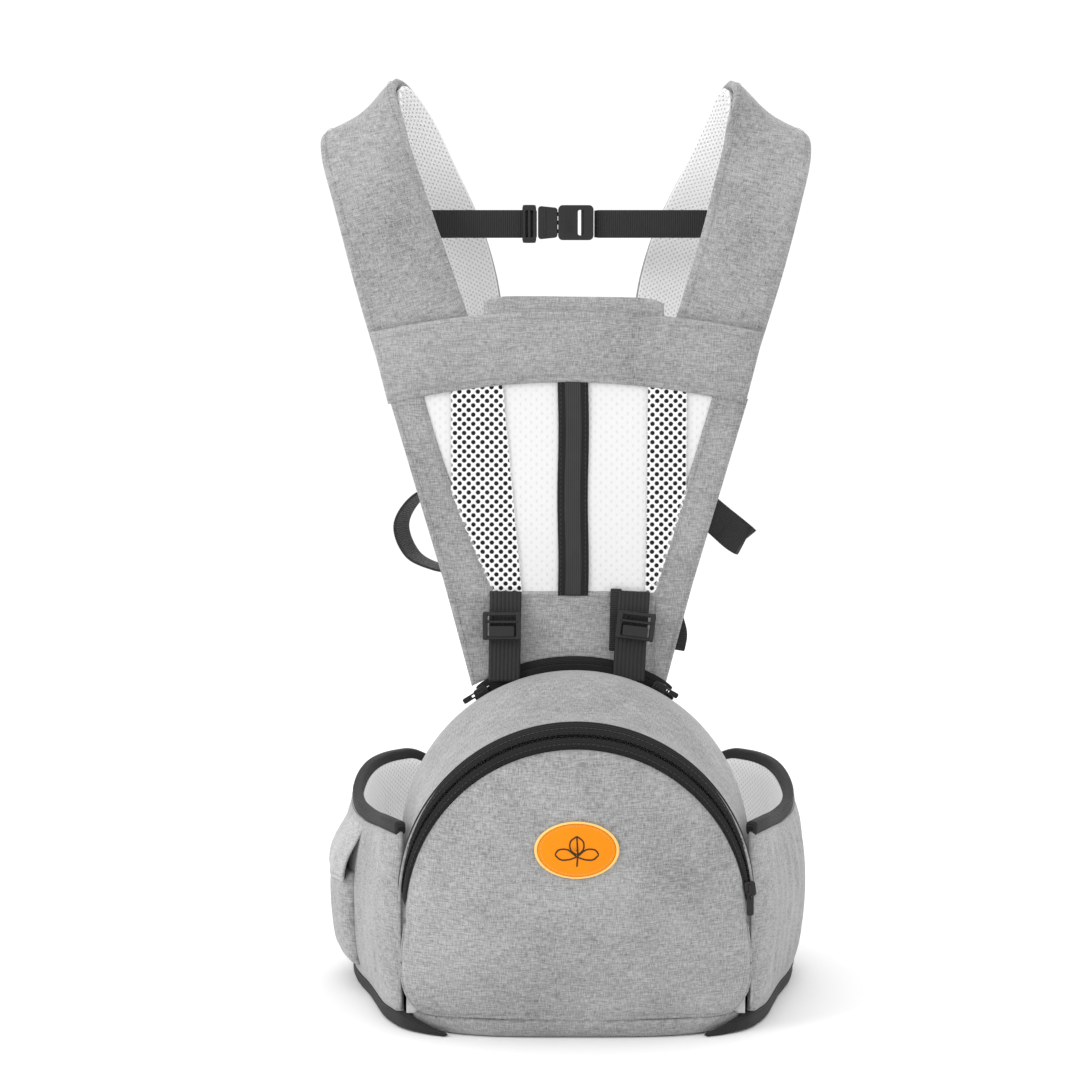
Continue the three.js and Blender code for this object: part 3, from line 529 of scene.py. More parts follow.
finishes = {
    "heather": heatherFinish("heatherGrey"),
    # the grey cloth at 1.25 times the brightness: painted light for the side pocket's flap on the lit side
    "heatherPaintedLight": heatherFinish("heatherPaintedLight", 1.25),
    "base": heatherFinish("baseWeave", 0.92),
    "air": meshFinish("airMeshWhite", 0.8, 2.3 * mm, 0.45, 0.65),
    "window": meshFinish("windowMeshWhite", 0.74, 4.2 * mm, 0.78, 0.4, 0.4),
    "perforated": meshFinish("perforatedKnit", 0.9, 1.3 * mm, 0.8, 0.3),
    # a near-black woven sheet, painted shade behind the holes of the perforated strips
    "holeShadeSheet": webbingFinish("paintedHoleShade", 0.006, 1.0 * mm),
    "webbing": webbingFinish("blackWebbing"),
    "adjuster": webbingFinish("ribbedWebbing", 0.01, 3.1 * mm, "across", 1.0, 0.5),
    "binding": webbingFinish("grosgrainBinding", 0.011, 1.1 * mm, "along", 0.7, 0.7),
    "tape": webbingFinish("zipTape", 0.008, 1.2 * mm, "across", 0.7, 0.75),
    "cover": webbingFinish("zipCover", 0.024, 1.6 * mm, "across", 0.6, 0.6),
    "coil": plasticFinish("nylonCoil", 0.006, 0.75, 0.12),
    "plastic": plasticFinish("blackAcetal"),
    "metal": metalFinish("darkMetal", 0.035),
    "badge": leatherFinish("orangePatch", (0.82, 0.26, 0.0, 1), (0.76, 0.2, 0.0, 1)),
    "badgeRim": leatherFinish("patchRim", (0.93, 0.6, 0.2, 1), (0.85, 0.5, 0.13, 1)),
    "motif": leatherFinish("motifBrown", (0.035, 0.02, 0.01, 1), (0.05, 0.03, 0.015, 1)),
    "foam": foamFinish("expandedFoam"),
    "board": plasticFinish("boardGrey", 0.2, 0.6),
    "thread": threadFinish("greyThread", 0.3),
    "threadBlack": threadFinish("blackThread", 0.02),
    "threadOrange": threadFinish("orangeThread", 0.4, 0.75),
}


def place(piece, body, finish, slotName, *nodes, fill=None):
    piece.data.materials.clear()
    piece.data.materials.append(finishes[finish])
    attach(piece, body)
    if nodes:
        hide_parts(*nodes)
    return piece


threadRuns = {}
stitch = {"pitch": 3.6 * mm, "long": 2.7 * mm, "thick": 0.55 * mm}


def sew(body, colour, path, normal, lift=0.25 * mm, scale=1.0):  # one row of stitches, built at the end
    threadRuns.setdefault((body, colour), []).append((np.asarray(path), np.asarray(normal), lift, scale))


def stitchMesh(runs):  # a six-sided spindle repeated along every row
    rings = np.array([[-0.5, 0.35], [-0.3, 1.0], [0.3, 1.0], [0.5, 0.35]])
    angle = np.linspace(0, 2 * np.pi, 6, endpoint=False)
    verts, faces, start = [], [], 0
    for path, normal, lift, scale in runs:
        run = lengths(path)
        count = max(2, int(run[-1] / (stitch["pitch"] * scale)))
        middle = (np.arange(count) + 0.5) / count * run[-1]
        pick = lambda a: np.stack([np.interp(middle, run, a[:, i]) for i in range(3)], 1)
        centre = pick(path)
        out = unit(pick(np.broadcast_to(normal, path.shape)))
        along = unit(pick(np.gradient(path, axis=0)))
        out = unit(out - along * np.sum(out * along, 1, keepdims=True))
        side = np.cross(along, out)
        long, thick = stitch["long"] * scale, stitch["thick"] * scale
        ax = rings[:, 0][:, None] * long
        cy = (rings[:, 1][:, None] * np.cos(angle)[None]) * thick / 2
        cz = (rings[:, 1][:, None] * np.sin(angle)[None]) * thick / 2
        moved = lambda direction, far: direction[:, None, None] * far[None, ..., None]
        pts = centre[:, None, None] + moved(along, np.broadcast_to(ax, cy.shape))
        pts = pts + moved(side, cy) + moved(out, cz + lift)
        ids = start + np.arange(count * 24).reshape(count, 4, 6)
        wrap = np.concatenate([ids, ids[:, :, :1]], 2)
        quads = np.stack([wrap[:, :-1, :-1], wrap[:, 1:, :-1], wrap[:, 1:, 1:], wrap[:, :-1, 1:]], -1)
        faces += quads.reshape(-1, 4).tolist() + ids[:, 0, ::-1].tolist() + ids[:, -1].tolist()
        verts.append(pts.reshape(-1, 3))
        start += count * 24
    return np.concatenate(verts), faces


def sewAll():  # all rows of one colour on one body become one piece
    kinds = {
        "thread": ("grey", "heather_fabric"), "threadBlack": ("black", "binding"),
        "threadOrange": ("orange", "badge"),
    }
    for (body, colour), runs in threadRuns.items():
        word, slotName = kinds[colour]
        verts, faces = stitchMesh(runs)
        piece = makeMesh(f"stitching_{word}_{body}", verts, faces, merge=False)
        place(piece, body, colour, slotName)


def setStage():  # camera, pale floor, four soft lamps and a white surround
    # the camera looks slightly down at the middle of the carrier from the front
    target = np.array([-27, 40, 360]) * mm
    eye = np.array([-27, -2200, 572]) * mm
    camera = bpy.data.objects.new("camera", bpy.data.cameras.new("camera"))
    bpy.context.scene.collection.objects.link(camera)
    camera.data.lens = 95.7
    camera.data.sensor_width = 36
    camera.data.clip_end = 50
    camera.location = eye
    look = unit(target - eye)
    camera.rotation_euler = (math.acos(-look[2]), 0, 0)
    bpy.context.scene.camera = camera

    half = 6.0
    floorVerts = np.array([[-half, -half, 0], [half, -half, 0], [half, half, 0], [-half, half, 0]])
    floorVerts[:, 2] = -0.4 * mm
    floor = makeMesh("floor", floorVerts, [[0, 1, 2, 3]])
    pale = Finish("paleFloor", Roughness=0.9)
    pale.feed("Base Color", pale.mixed(pale.noise(pale.place(), 3.0), grey(0.99), grey(0.975)))
    floor.data.materials.append(pale.material)

    lights = {
        "key": {"at": (-2.1, -1.4, 1.7), "size": 1.1, "power": 27},
        "fill": {"at": (1.9, -1.6, 1.1), "size": 1.8, "power": 2},
        "top": {"at": (0.0, 0.2, 2.4), "size": 1.4, "power": 6},
        "rear": {"at": (0.4, 2.2, 1.6), "size": 1.8, "power": 9},
    }
    for name, d in lights.items():
        lamp = bpy.data.lights.new(name, "AREA")
        lamp.energy = d["power"]
        lamp.size = d["size"]
        item = bpy.data.objects.new(name, lamp)
        item.location = d["at"]
        aim = unit(np.array([0, 0, 0.35]) - np.array(d["at"]))
        item.rotation_euler = (math.acos(-aim[2]), 0, math.atan2(-aim[0], aim[1]))
        bpy.context.scene.collection.objects.link(item)
    world = bpy.data.worlds.new("softWhite")
    bpy.context.scene.world = world
    world.use_nodes = True
    world.node_tree.nodes["Background"].inputs[0].default_value = (1, 1, 1, 1)
    world.node_tree.nodes["Background"].inputs[1].default_value = 1.04
    bpy.context.scene.view_settings.view_transform = "Standard"


setStage()
print("stage set")

# hip seat
seat = {
    "frontY": -84 * mm, "rearY": 37 * mm, "crestY": 10 * mm, "frontHalf": 133.3 * mm, "rearHalf": 136 * mm,
    "frontSpring": 101 * mm, "rearSpring": 123 * mm, "foot": 10 * mm, "thick": 2 * mm,
    "rearRound": 13 * mm, "rearDrop": 5.5 * mm, "cornerY": -56 * mm, "cornerUp": 32 * mm,
}


def archLine(t, half, spring, foot):  # straight leg, half circle, straight leg; t runs 0..1 by length
    leg = spring - foot
    total = 2 * leg + np.pi * half
    run = t * total
    angle = np.pi - np.clip((run - leg) / half, 0, np.pi)
    x = half * np.cos(angle)
    z = spring + half * np.sin(angle)
    z = np.where(run < leg, foot + run, np.where(run > total - leg, foot + total - run, z))
    return x, z


roundedOff = 0.1 * np.sin(np.linspace(0, np.pi / 2, 12))[1:]  # last tenth of a radius, in shrinking steps


def seatShape(y):  # half-width and spring height of the arch at a station, eased from front to crest
    stage = ease((y + 77 * mm) / (seat["crestY"] + 77 * mm))
    half = lerp(seat["frontHalf"], seat["rearHalf"], stage)
    spring = lerp(seat["frontSpring"], seat["rearSpring"], stage)
    back = np.clip((y - (seat["rearY"] - seat["rearRound"])) / seat["rearRound"], 0, 1)
    return half - seat["rearDrop"] * (1 - np.sqrt(1 - back**2)), spring


def seatFoot(y):  # lower edge of the cover: level, turning up round the front corner
    corner = np.clip((seat["cornerY"] - y) / (seat["cornerY"] - seat["frontY"]), 0, 1)
    return seat["foot"] + seat["cornerUp"] * (1 - np.sqrt(1 - 0.995 * corner**2))


def seatPoint(t, y, lift=0.0):  # share t along the arch at station y, lifted outward
    half, spring = seatShape(y)
    x, z = archLine(t, half + lift, spring, seatFoot(y))
    return np.stack([x, np.broadcast_to(y, x.shape), z], -1)


def buildSeat():  # cover over the arch, cushion against the back, tray below
    t = np.linspace(0, 1, 190)[:, None]
    y = lerp(seat["frontY"], seat["rearY"], crowded(46, 0.5))[None]
    # faint drag lines in the cloth where the padding pulls over the shoulders
    drag = 0.5 * mm * np.sin(t * 46 + 3 * np.sin(y * 60)) * np.sin(np.pi * crowded(46, 0.5))[None] ** 2
    seam = -0.9 * mm * np.exp(-(((y - seat["frontY"] - 9 * mm) / (1.4 * mm)) ** 2))
    face = seatPoint(t, y, drag + seam)
    back = seatPoint(t, y, np.full_like(drag, -seat["thick"]))
    cover = slab("seat_cover", face, back)
    puffLater(cover, rimOf(face), 11 * mm, 1.6 * mm)
    place(cover, "seat", "heather", "heather_fabric", "seat_top_cover", fill=0.85)
    line = seatPoint(np.linspace(0.12, 0.88, 200), np.full(200, seat["frontY"] + 9 * mm), 0)
    centre = np.stack([np.zeros(200), line[:, 1], np.full(200, seat["frontSpring"])], 1)
    sew("seat", "thread", line, line - centre, -0.4 * mm)

    # back pad: an arch-shaped crowned pad with sewn channels
    low, high = np.array(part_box("seat_back_pad"))
    half, spring = (high[0] - low[0]) / 2, seat["rearSpring"]
    r = crowded(36, 0.7)[:, None]
    a = np.linspace(0, 1, 200, endpoint=False)[None]
    rimX, rimZ = archLine(np.minimum(a / 0.72, 1), half, spring, low[2])
    lower = np.clip((a - 0.72) / 0.28, 0, 1)
    rimX = np.where(a > 0.72, lerp(half, -half, lower), rimX)
    rimZ = np.where(a > 0.72, low[2], rimZ)
    cz = (low[2] + high[2]) / 2
    x, z = rimX * r, cz + (rimZ - cz) * r
    d = (1 - r) * np.hypot(rimX, rimZ - cz)
    puff = padProfile(d, 16 * mm)
    channels = lambda width: bell(np.abs(x) - 44 * mm, width) + bell(z - 120 * mm, width)
    depth = high[1] - low[1]
    sunk = 3.0 * mm * np.minimum(channels(2.2 * mm), 1)
    faceY = low[1] + depth * (0.35 + 0.65 * puff) - sunk * puff + 1.5 * mm * puff
    face = points(x, faceY, z).transpose(1, 0, 2)
    back = points(x, low[1] + 0.4 * mm, z).transpose(1, 0, 2)
    uv = np.stack([x, z], -1).transpose(1, 0, 2)
    cushion = slab("seat_back_cushion", face, back, uv, closeU=True)
    sewn = channels(3 * mm).T > 0.4
    puffLater(cushion, np.concatenate([face[:, -1], face[sewn]]), 4 * mm, 1.8 * mm)
    place(cushion, "seat", "air", "air_mesh", "seat_back_pad", fill=0.7)

    # base: a shallow tray whose wall rises to the pouch seam
    base = {"half": 133 * mm, "sideY": -30 * mm, "frontY": -104.5 * mm, "rearY": 42 * mm, "wall": 12.5 * mm}
    a = np.linspace(0, 2 * np.pi, 220, endpoint=False)[None]
    c, s = np.cos(a), np.sin(a)
    squareness = 0.35
    bx = np.sign(c) * np.abs(c) ** np.where(s < 0, 0.55, squareness) * base["half"]
    depthShare = np.where(s < 0, np.abs(s) ** 0.8, np.abs(s) ** squareness)
    by = base["sideY"] + depthShare * (np.where(s < 0, base["frontY"], base["rearY"]) - base["sideY"])
    r = np.concatenate([np.linspace(0, 0.9, 14), 0.9 + roundedOff])[:, None]
    z = base["wall"] * (1 - np.sqrt(1 - np.clip((r - 0.9) / 0.1, 0, 1) ** 2))
    z = np.broadcast_to(z, (len(r), a.shape[1]))
    midY = (base["frontY"] + base["rearY"]) / 2

    def tray(shrink, up):
        return points(bx * r * shrink, midY + (by - midY) * r * shrink, z + up).transpose(1, 0, 2)

    face = tray(1.0, 0.0)
    back = tray(0.985, 1.5 * mm)
    uv = np.stack([face[..., 0], face[..., 1] - z.T], -1)
    baseTray = slab("seat_base_tray", face, back, uv, closeU=True)
    place(baseTray, "seat", "base", "base_fabric", "seat_base_panel")


buildSeat()
print("seat built")

# storage pouch
pouch = {
    "planeY": -85 * mm, "centreZ": 87.5 * mm, "radius": 127.6 * mm, "outerCentre": 101.5 * mm,
    "outerRadius": 134 * mm, "footHalf": 130.5 * mm, "corner": 34 * mm, "inset": 25 * mm, "bulge": 42 * mm,
    "footBulge": 18.5 * mm, "footZ": 13 * mm, "sweep": 86, "coil": 4.2 * mm,
}


def cornerInset(z):  # a quarter ellipse that turns the sides in at the foot
    corner = 1 - np.clip((z - pouch["footZ"]) / pouch["corner"], 0, 1)
    return pouch["inset"] * (1 - np.sqrt(1 - corner**2))


def pouchHalf(z):  # round inside the zip, a little wider below it, turning in at the lower corners
    above = np.maximum(0, z - pouch["centreZ"])
    rounded = np.sqrt(np.maximum(1e-9, pouch["radius"] ** 2 - above**2))
    return lerp(rounded, pouch["footHalf"], ease((pouch["centreZ"] - z) / (30 * mm))) - cornerInset(z)


def pouchDepth(x, z):  # how far the pouch front stands out of its zip plane
    across = np.maximum(0, 1 - (x / pouchHalf(z)) ** 2)
    top = pouch["centreZ"] + pouch["radius"]
    rise = np.clip((z - pouch["footZ"]) / (top - pouch["footZ"]), 0, 1)
    profile = lerp(pouch["footBulge"], pouch["bulge"], np.sin(np.pi * np.minimum(0.5, rise * 1.1)))
    fall = np.where(rise < 0.5, 1, np.sqrt(np.maximum(0, 1 - (np.maximum(rise - 0.5, 0) / 0.5) ** 2)))
    return profile * fall * across**0.6


def pouchRim(a):  # outline of the pouch front: sides and arch for a in 0..0.74, the foot for the rest
    steps = 500
    z = lerp(pouch["footZ"], pouch["centreZ"], np.linspace(0, 1, steps) ** 2)
    leftLeg = np.stack([-pouchHalf(z), z], 1)
    angle = np.linspace(np.pi, 0, 2 * steps)
    arch = np.stack([pouch["radius"] * np.cos(angle), pouch["centreZ"] + pouch["radius"] * np.sin(angle)], 1)
    rightLeg = leftLeg[::-1] * [-1, 1]
    footHalf = pouchHalf(np.array(pouch["footZ"]))
    foot = np.stack([np.linspace(footHalf, -footHalf, steps), np.full(steps, pouch["footZ"])], 1)
    line = np.concatenate([leftLeg, arch[1:-1], rightLeg, foot[1:]])
    run = lengths(line)
    return np.stack([np.interp(a * run[-1], run, line[:, i]) for i in range(2)], -1)


def archPath(centreZ, radius, sweep, y, count=160):  # points on an arc swept each side of the top
    a = np.radians(np.linspace(-sweep, sweep, count))
    return np.stack([radius * np.sin(a), np.full(count, y), centreZ + radius * np.cos(a)], 1)


def coilMesh(name, path, out, width, pitch=1.9 * mm, high=1.5 * mm, narrow=0.0):
    # interlocked teeth along a zip: a wedge at each pitch, shifted to either side in turn
    run = lengths(path)
    count = int(run[-1] / pitch)
    middle = (np.arange(count) + 0.5) * pitch
    pick = lambda a: np.stack([np.interp(middle, run, a[:, i]) for i in range(3)], 1)
    centre, along = pick(path), unit(pick(np.gradient(path, axis=0)))
    out = unit(pick(np.broadcast_to(out, path.shape)))
    side = np.cross(along, out)
    box = np.array([[x, y, z] for x in (-1, 1) for y in (-1, 1) for z in (-1, 1)], float)
    box[:, 0] *= np.where(box[:, 2] > 0, 0.6, 1.0)
    width = width * (1 - narrow * np.linspace(-1, 1, count) ** 2)[:, None]
    shift = np.where(np.arange(count) % 2 == 0, 1, -1)[:, None] * width * 0.16
    pts = (centre + side * shift)[:, None] + along[:, None] * (box[:, 0] * pitch * 0.36)[None, :, None]
    pts = pts + side[:, None] * (box[:, 1] * width * 0.34)[..., None]
    pts = pts + out[:, None] * (box[:, 2] * high / 2)[None, :, None]
    corner = np.array([[0, 1, 3, 2], [4, 6, 7, 5], [0, 4, 5, 1], [2, 3, 7, 6], [0, 2, 6, 4], [1, 5, 7, 3]])
    faces = (np.arange(count)[:, None, None] * 8 + corner[None]).reshape(-1, 4)
    return makeMesh(name, pts.reshape(-1, 3), faces, merge=False)


def arcTape(name, centreZ, inner, outer, sweep, innerY, outerY, thick, curl=0.0, count=150):
    # a flat woven tape on an arc, leaning from innerY to outerY across its width
    a = np.radians(np.linspace(-sweep, sweep, count))[:, None]
    v = crowded(9, 0.5)[None]
    radius = lerp(inner, outer, v)
    y = lerp(innerY, outerY, v**1.5) - curl * np.sin(np.pi * v)
    taper = np.clip((np.radians(sweep) - np.abs(a)) / np.radians(7), 0, 1) ** 0.5
    radius = lerp((inner + outer) / 2, radius, 0.35 + 0.65 * taper)
    face = points(radius * np.sin(a), y, centreZ + radius * np.cos(a))
    edge = thick * (0.35 + 0.65 * padProfile(np.minimum(v, 1 - v) * (outer - inner), 0.8 * mm))
    uv = np.stack(np.broadcast_arrays(lerp(inner, outer, v), a * (inner + outer) / 2), -1)
    return slab(name, face, face + points(0, edge, 0), uv)


def zipCircle(share):  # centre height and radius, from the pouch rim (0) to the zip's outer edge (1)
    centre = lerp(pouch["centreZ"], pouch["outerCentre"], share)
    return centre, lerp(pouch["radius"] + 0.5 * mm, pouch["outerRadius"], share)


def zipPoint(angle, share, y):  # the band turns back towards the sides at its ends
    centre, radius = zipCircle(share)
    back = 7 * mm * (np.abs(angle) / math.radians(pouch["sweep"])) ** 4 * share
    return points(radius * np.sin(angle), y + back, centre + radius * np.cos(angle))


def zipStrip(name, node, start, stop, innerY, outerY, curl):  # half of the zip band, with a rounded edge
    a = np.radians(np.linspace(-pouch["sweep"], pouch["sweep"], 190))[:, None]
    v = crowded(11, 0.6)[None]
    y = lerp(innerY, outerY, v) - curl * np.sin(np.pi * v)
    face = zipPoint(a, lerp(start, stop, v), y)
    edge = 1.5 * mm * (0.3 + 0.7 * padProfile(np.minimum(v, 1 - v), 0.12))
    uv = np.stack(np.broadcast_arrays(v * 8 * mm, a * 130 * mm), -1)
    place(slab(name, face, face + points(0, edge, 0), uv), "seat", "tape", "zip_tape", node)


def buildPouch():  # gusset, bulging front, piping, and the zip round its top
    # a plain panel behind the pouch front closes the box up to the cover's front edge
    steps = 240
    half, spring = seat["frontHalf"] - 0.6 * mm, seat["frontSpring"]
    t = np.linspace(0, 1, steps)
    x, z = archLine(t, half, spring, pouch["footZ"])
    x = np.sign(x) * (np.abs(x) - cornerInset(z))
    foot = np.linspace(1, -1, 60)[1:-1]
    x = np.concatenate([x, foot * x[-1]])
    z = np.concatenate([z, np.full(58, pouch["footZ"])])
    r = np.array([0.01, 0.4, 0.8, 1.0])
    grid = np.stack([x[:, None] * r, np.full((len(x), 4), -82 * mm), spring + (z - spring)[:, None] * r], -1)
    gusset = slab("pouch_gusset", grid, grid + [0, 1.5 * mm, 0], grid[..., [0, 2]], closeU=True)
    place(gusset, "seat", "heather", "heather_fabric")

    a = np.linspace(0, 1, 300, endpoint=False)
    rim = pouchRim(a)
    r = np.concatenate([[0.002], np.linspace(0.03, 0.9, 38), 0.9 + roundedOff])
    centre = np.array([0, 98 * mm])
    xz = centre + (rim - centre)[:, None] * r[None, :, None]
    x, z = xz[..., 0], xz[..., 1]
    y = pouch["planeY"] - pouchDepth(x, z)
    rimDistance = (1 - r)[None] * np.linalg.norm(rim - centre, axis=1)[:, None]
    groove = 1.2 * mm * bell(rimDistance - 5 * mm, 1.5 * mm)
    # soft vertical drags in the cloth, strongest low down and near the sides
    drag = 0.9 * mm * np.sin(x * 95 + 2.2 * np.sin(z * 31)) * np.clip(rimDistance / (30 * mm), 0, 1)
    drag = drag * (0.35 + 0.65 * np.clip(1 - z / 0.2, 0, 1))
    drag = drag + 0.5 * mm * np.sin(z * 120 + x * 40) * np.clip(rimDistance / (40 * mm), 0, 1)
    face = np.stack([x, y + groove + drag, z], -1)
    back = np.stack([x, y + 2.6 * mm, z], -1)
    piece = slab("pouch_front", face, back, np.stack([x, z], -1), closeU=True)
    under = np.hypot(x / (33 * mm), (z - 147.5 * mm) / (23 * mm)) < 1  # flat under the badge
    puffLater(piece, np.concatenate([face[:, -1], face[under]]), 7 * mm, 1.8 * mm)
    place(piece, "seat", "heather", "heather_fabric", "pouch_front_panel", fill=0.75)

    # piping along the pouch front's sides and foot
    loop = pouchRim(np.linspace(0, 1, 700))
    low = loop[loop[:, 1] < pouch["centreZ"] - 4 * mm]
    order = np.argsort(np.arctan2(low[:, 0], 0.09 - low[:, 1]))
    line = low[order]
    y = pouch["planeY"] - pouchDepth(line[:, 0], line[:, 1]) + 1.2 * mm
    path = through(np.stack([line[:, 0], y, line[:, 1]], 1)[::6], 260)
    piping = band("pouch_piping", path, (0, 0, 1), 3.2 * mm, 3.2 * mm, power=2, count=10)
    place(piping, "seat", "base", "heather_fabric")

    y = pouch["planeY"]
    zipStrip("pouch_zip_lower", "pouch_zip_tape_lower", 0.0, 0.44, y - 1.6 * mm, y - 1.8 * mm, 0.7 * mm)
    zipStrip("pouch_zip_upper", "pouch_zip_tape_upper", 0.56, 1.02, y - 1.8 * mm, y + 1.4 * mm, 1.0 * mm)
    angle = np.radians(np.linspace(1 - pouch["sweep"], pouch["sweep"] - 1, 300))
    path = zipPoint(angle, 0.5, y - 1.2 * mm)
    coil = coilMesh("pouch_zip_teeth", path, (0, -1, 0), pouch["coil"], narrow=0.6)
    place(coil, "seat", "coil", "zip_coil", "pouch_zip_coil")
    inner = np.radians(np.linspace(-74, 74, 220))
    for share, depth in [(0.2, y - 2.5 * mm), (0.8, y - 1.6 * mm)]:
        sew("seat", "threadBlack", zipPoint(inner, share, depth), (0, -1, 0), 0.0)


def buildPouchSlider():  # a body with a bridge, turned along the zip, and its pull
    turn = math.radians(83) - math.pi / 2
    body = block(4.2 * mm, 5.6 * mm, 2.2 * mm, -1.6 * mm, 1.2 * mm)
    bridge = block(1.3 * mm, 3.4 * mm, 0.8 * mm, -3.0 * mm, -1.5 * mm)
    verts, faces = joined([body, bridge])
    centre = np.array(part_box("pouch_zip_slider")).mean(0)
    slider = moulded("pouch_slider_body", [(swung(verts, turn), faces)], centre, 0.4 * mm)
    place(slider, "zip_slider", "metal", "zip_metal", "pouch_zip_slider")
    hole = roundRect(1.2 * mm, 2.4 * mm, 0.8 * mm, 0, 5.2 * mm)
    tab = prism(roundRect(2.6 * mm, 9 * mm, 1.8 * mm), -0.6 * mm, 0.6 * mm, hole)
    pull = moulded("pouch_pull_tab", [tab], np.array(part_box("pouch_zip_pull")).mean(0), 0.25 * mm)
    place(pull, "zip_pull", "metal", "zip_metal", "pouch_zip_pull")


def buildBadge():  # an oval patch in rings x = a cos t, z = b sin t, laid on the pouch front
    box = np.array(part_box("badge_oval"))
    cz = (box[0][2] + box[1][2]) / 2
    half, high = (box[1][0] - box[0][0]) / 2, (box[1][2] - box[0][2]) / 2
    a = np.linspace(0, 2 * np.pi, 120, endpoint=False)

    def oval(share, lift):
        x, z = half * share * np.cos(a), cz + high * share * np.sin(a)
        return np.stack([x, pouch["planeY"] - pouchDepth(x, z) - lift, z], 1)

    shares = np.array([0.02, 0.3, 0.6, 0.84, 0.9, 0.93])
    face = np.stack([oval(s, 2.3 * mm - 0.5 * mm * s**6) for s in shares], 1)
    back = np.stack([oval(s, 0.9 * mm) for s in shares], 1)
    uv = face[..., [0, 2]]
    patch = slab("badge_patch", face, back, uv, closeU=True)
    place(patch, "seat", "badge", "badge", "badge_oval")
    rimShares = np.array([0.935, 0.95, 0.975, 1.0, 1.01])
    rimLift = np.array([1.7, 2.5, 2.6, 2.1, 1.2]) * mm
    face = np.stack([oval(s, l) for s, l in zip(rimShares, rimLift)], 1)
    back = np.stack([oval(s, 0.7 * mm) for s in rimShares], 1)
    rim = slab("badge_rim", face, back, face[..., [0, 2]], closeU=True)
    place(rim, "seat", "badgeRim", "badge")
    ring = oval(0.86, 2.0 * mm)
    sew("seat", "threadOrange", np.concatenate([ring, ring[:1]]), (0, -1, 0), 0.15 * mm, 0.72)
    # a plain sprig of three leaves on a stem
    stem = [(0, -8.5), (0.4, -2), (0, 7.5)]
    upright = [(0, 7.5), (-3.4, 4.5), (-3.2, 0.4), (0, -2.2)]
    upper = [(0, -3.2), (-5.2, 0.6), (-9.8, 0.2), (-11.5, -2.2)]
    lower = [(0, -3.2), (-4.4, -4.6), (-8.6, -4.6), (-11.5, -2.2)]
    mirrored = lambda stroke: [(-x, z) for x, z in stroke]
    strokes = [stem, upright, mirrored(upright), upper, lower, mirrored(upper), mirrored(lower)]
    for number, stroke in enumerate(strokes):
        line = through(np.array(stroke) * 1.4 * mm, 26)
        x, z = line[:, 0], cz + line[:, 1]
        path = np.stack([x, pouch["planeY"] - pouchDepth(x, z) - 2.4 * mm, z], 1)
        line = band(f"badge_sprig_{number + 1}", path, (0, 1, 0), 0.6 * mm, 1.1 * mm, power=2, count=8)
        place(line, "seat", "motif", "badge")


buildPouch()
buildBadge()
buildPouchSlider()
print("pouch built")

# waist belt
belt = {
    "plan": [[147, -22], [156, 20], [169, 70], [174, 120], [164, 168], [133, 206], [96, 224], [66, 230]],
    "outer": 5 * mm, "bulge": 8 * mm, "bindingHigh": 10.5 * mm, "bindingLow": 12.5 * mm,
    "top": 148 * mm, "topFront": 157 * mm,
    "front": 0.18, "lead": -0.15, "edgeMiddle": 0.2 * mm, "edgeThick": 9.0 * mm,
    "run": [(96, -98), (108, -92), (119, -84), (128, -74)],
}
wingLine = through([[x * mm, y * mm, 0] for x, y in belt["plan"]], 400)


def wingTop(u):  # upper edge: a little higher in front, up to 168 mm at the hip, down to 122 mm at the tip
    front = lerp(belt["top"], belt["topFront"], ease((0.2 - u) / 0.32))
    rise = lerp(front, 168 * mm, ease((u - 0.3) / 0.4))
    return lerp(rise, 122 * mm, ease((u - 0.74) / 0.26))


def wingFoot(u):  # lower edge: on the ground, then easing up to 52 mm at the tip
    return lerp(0.0, 52 * mm, ease((u - 0.66) / 0.34))


def wingPoint(side, u, z, lift):  # a point at a height on the wing, lift outward of its middle surface
    k = np.linspace(0, 1, len(wingLine))
    t = unit(np.gradient(wingLine, axis=0))
    tx, ty = np.interp(u, k, t[:, 0]), np.interp(u, k, t[:, 1])
    ahead = np.minimum(u, 0) * lengths(wingLine)[-1]  # straight on against the side of the seat
    tuck = 6 * mm * np.clip((-0.03 - u) / 0.12, 0, 1) ** 2
    x = np.interp(u, k, wingLine[:, 0]) + tx * ahead - tuck
    y = np.interp(u, k, wingLine[:, 1]) + ty * ahead
    share = np.clip((z - wingFoot(u)) / (wingTop(u) - wingFoot(u)), 0, 1)
    swell = belt["bulge"] * np.sin(np.pi * share) * np.sin(np.pi * np.clip(u + 0.12, 0, 1))
    out = lift + swell
    return points(side * (x + ty * out), y - tx * out, z)


def wingPad(
        name, side, start, stop, lowOf, highOf, edge, full, radius, nu=120, nv=40, groove=None, ripple=0.0):
    # edge and full are the (inner, outer) lifts at the sewn edge and over the padding
    u = lerp(start, stop, crowded(nu, 0.5))[:, None]
    z = lerp(lowOf(u), highOf(u), crowded(nv, 0.6)[None])
    middle = wingPoint(side, u, z, (full[0] + full[1]) / 2)
    d = edgeDistance(middle)
    puffed = padProfile(d, radius)
    extra = ripple * np.sin(u * 90 + 2 * np.sin(z * 50)) * np.clip(d / (20 * mm), 0, 1)
    if groove is not None:
        extra = extra - groove(u, z) * np.clip(d / (4 * mm), 0, 1)
    face = wingPoint(side, u, z, lerp(edge[1], full[1], puffed) + extra)
    back = wingPoint(side, u, z, lerp(edge[0], full[0], puffed))
    piece = slab(name, face, back, gridUv(middle))
    puffLater(piece, rimOf(middle), 6 * mm, 2.2 * mm)
    return piece


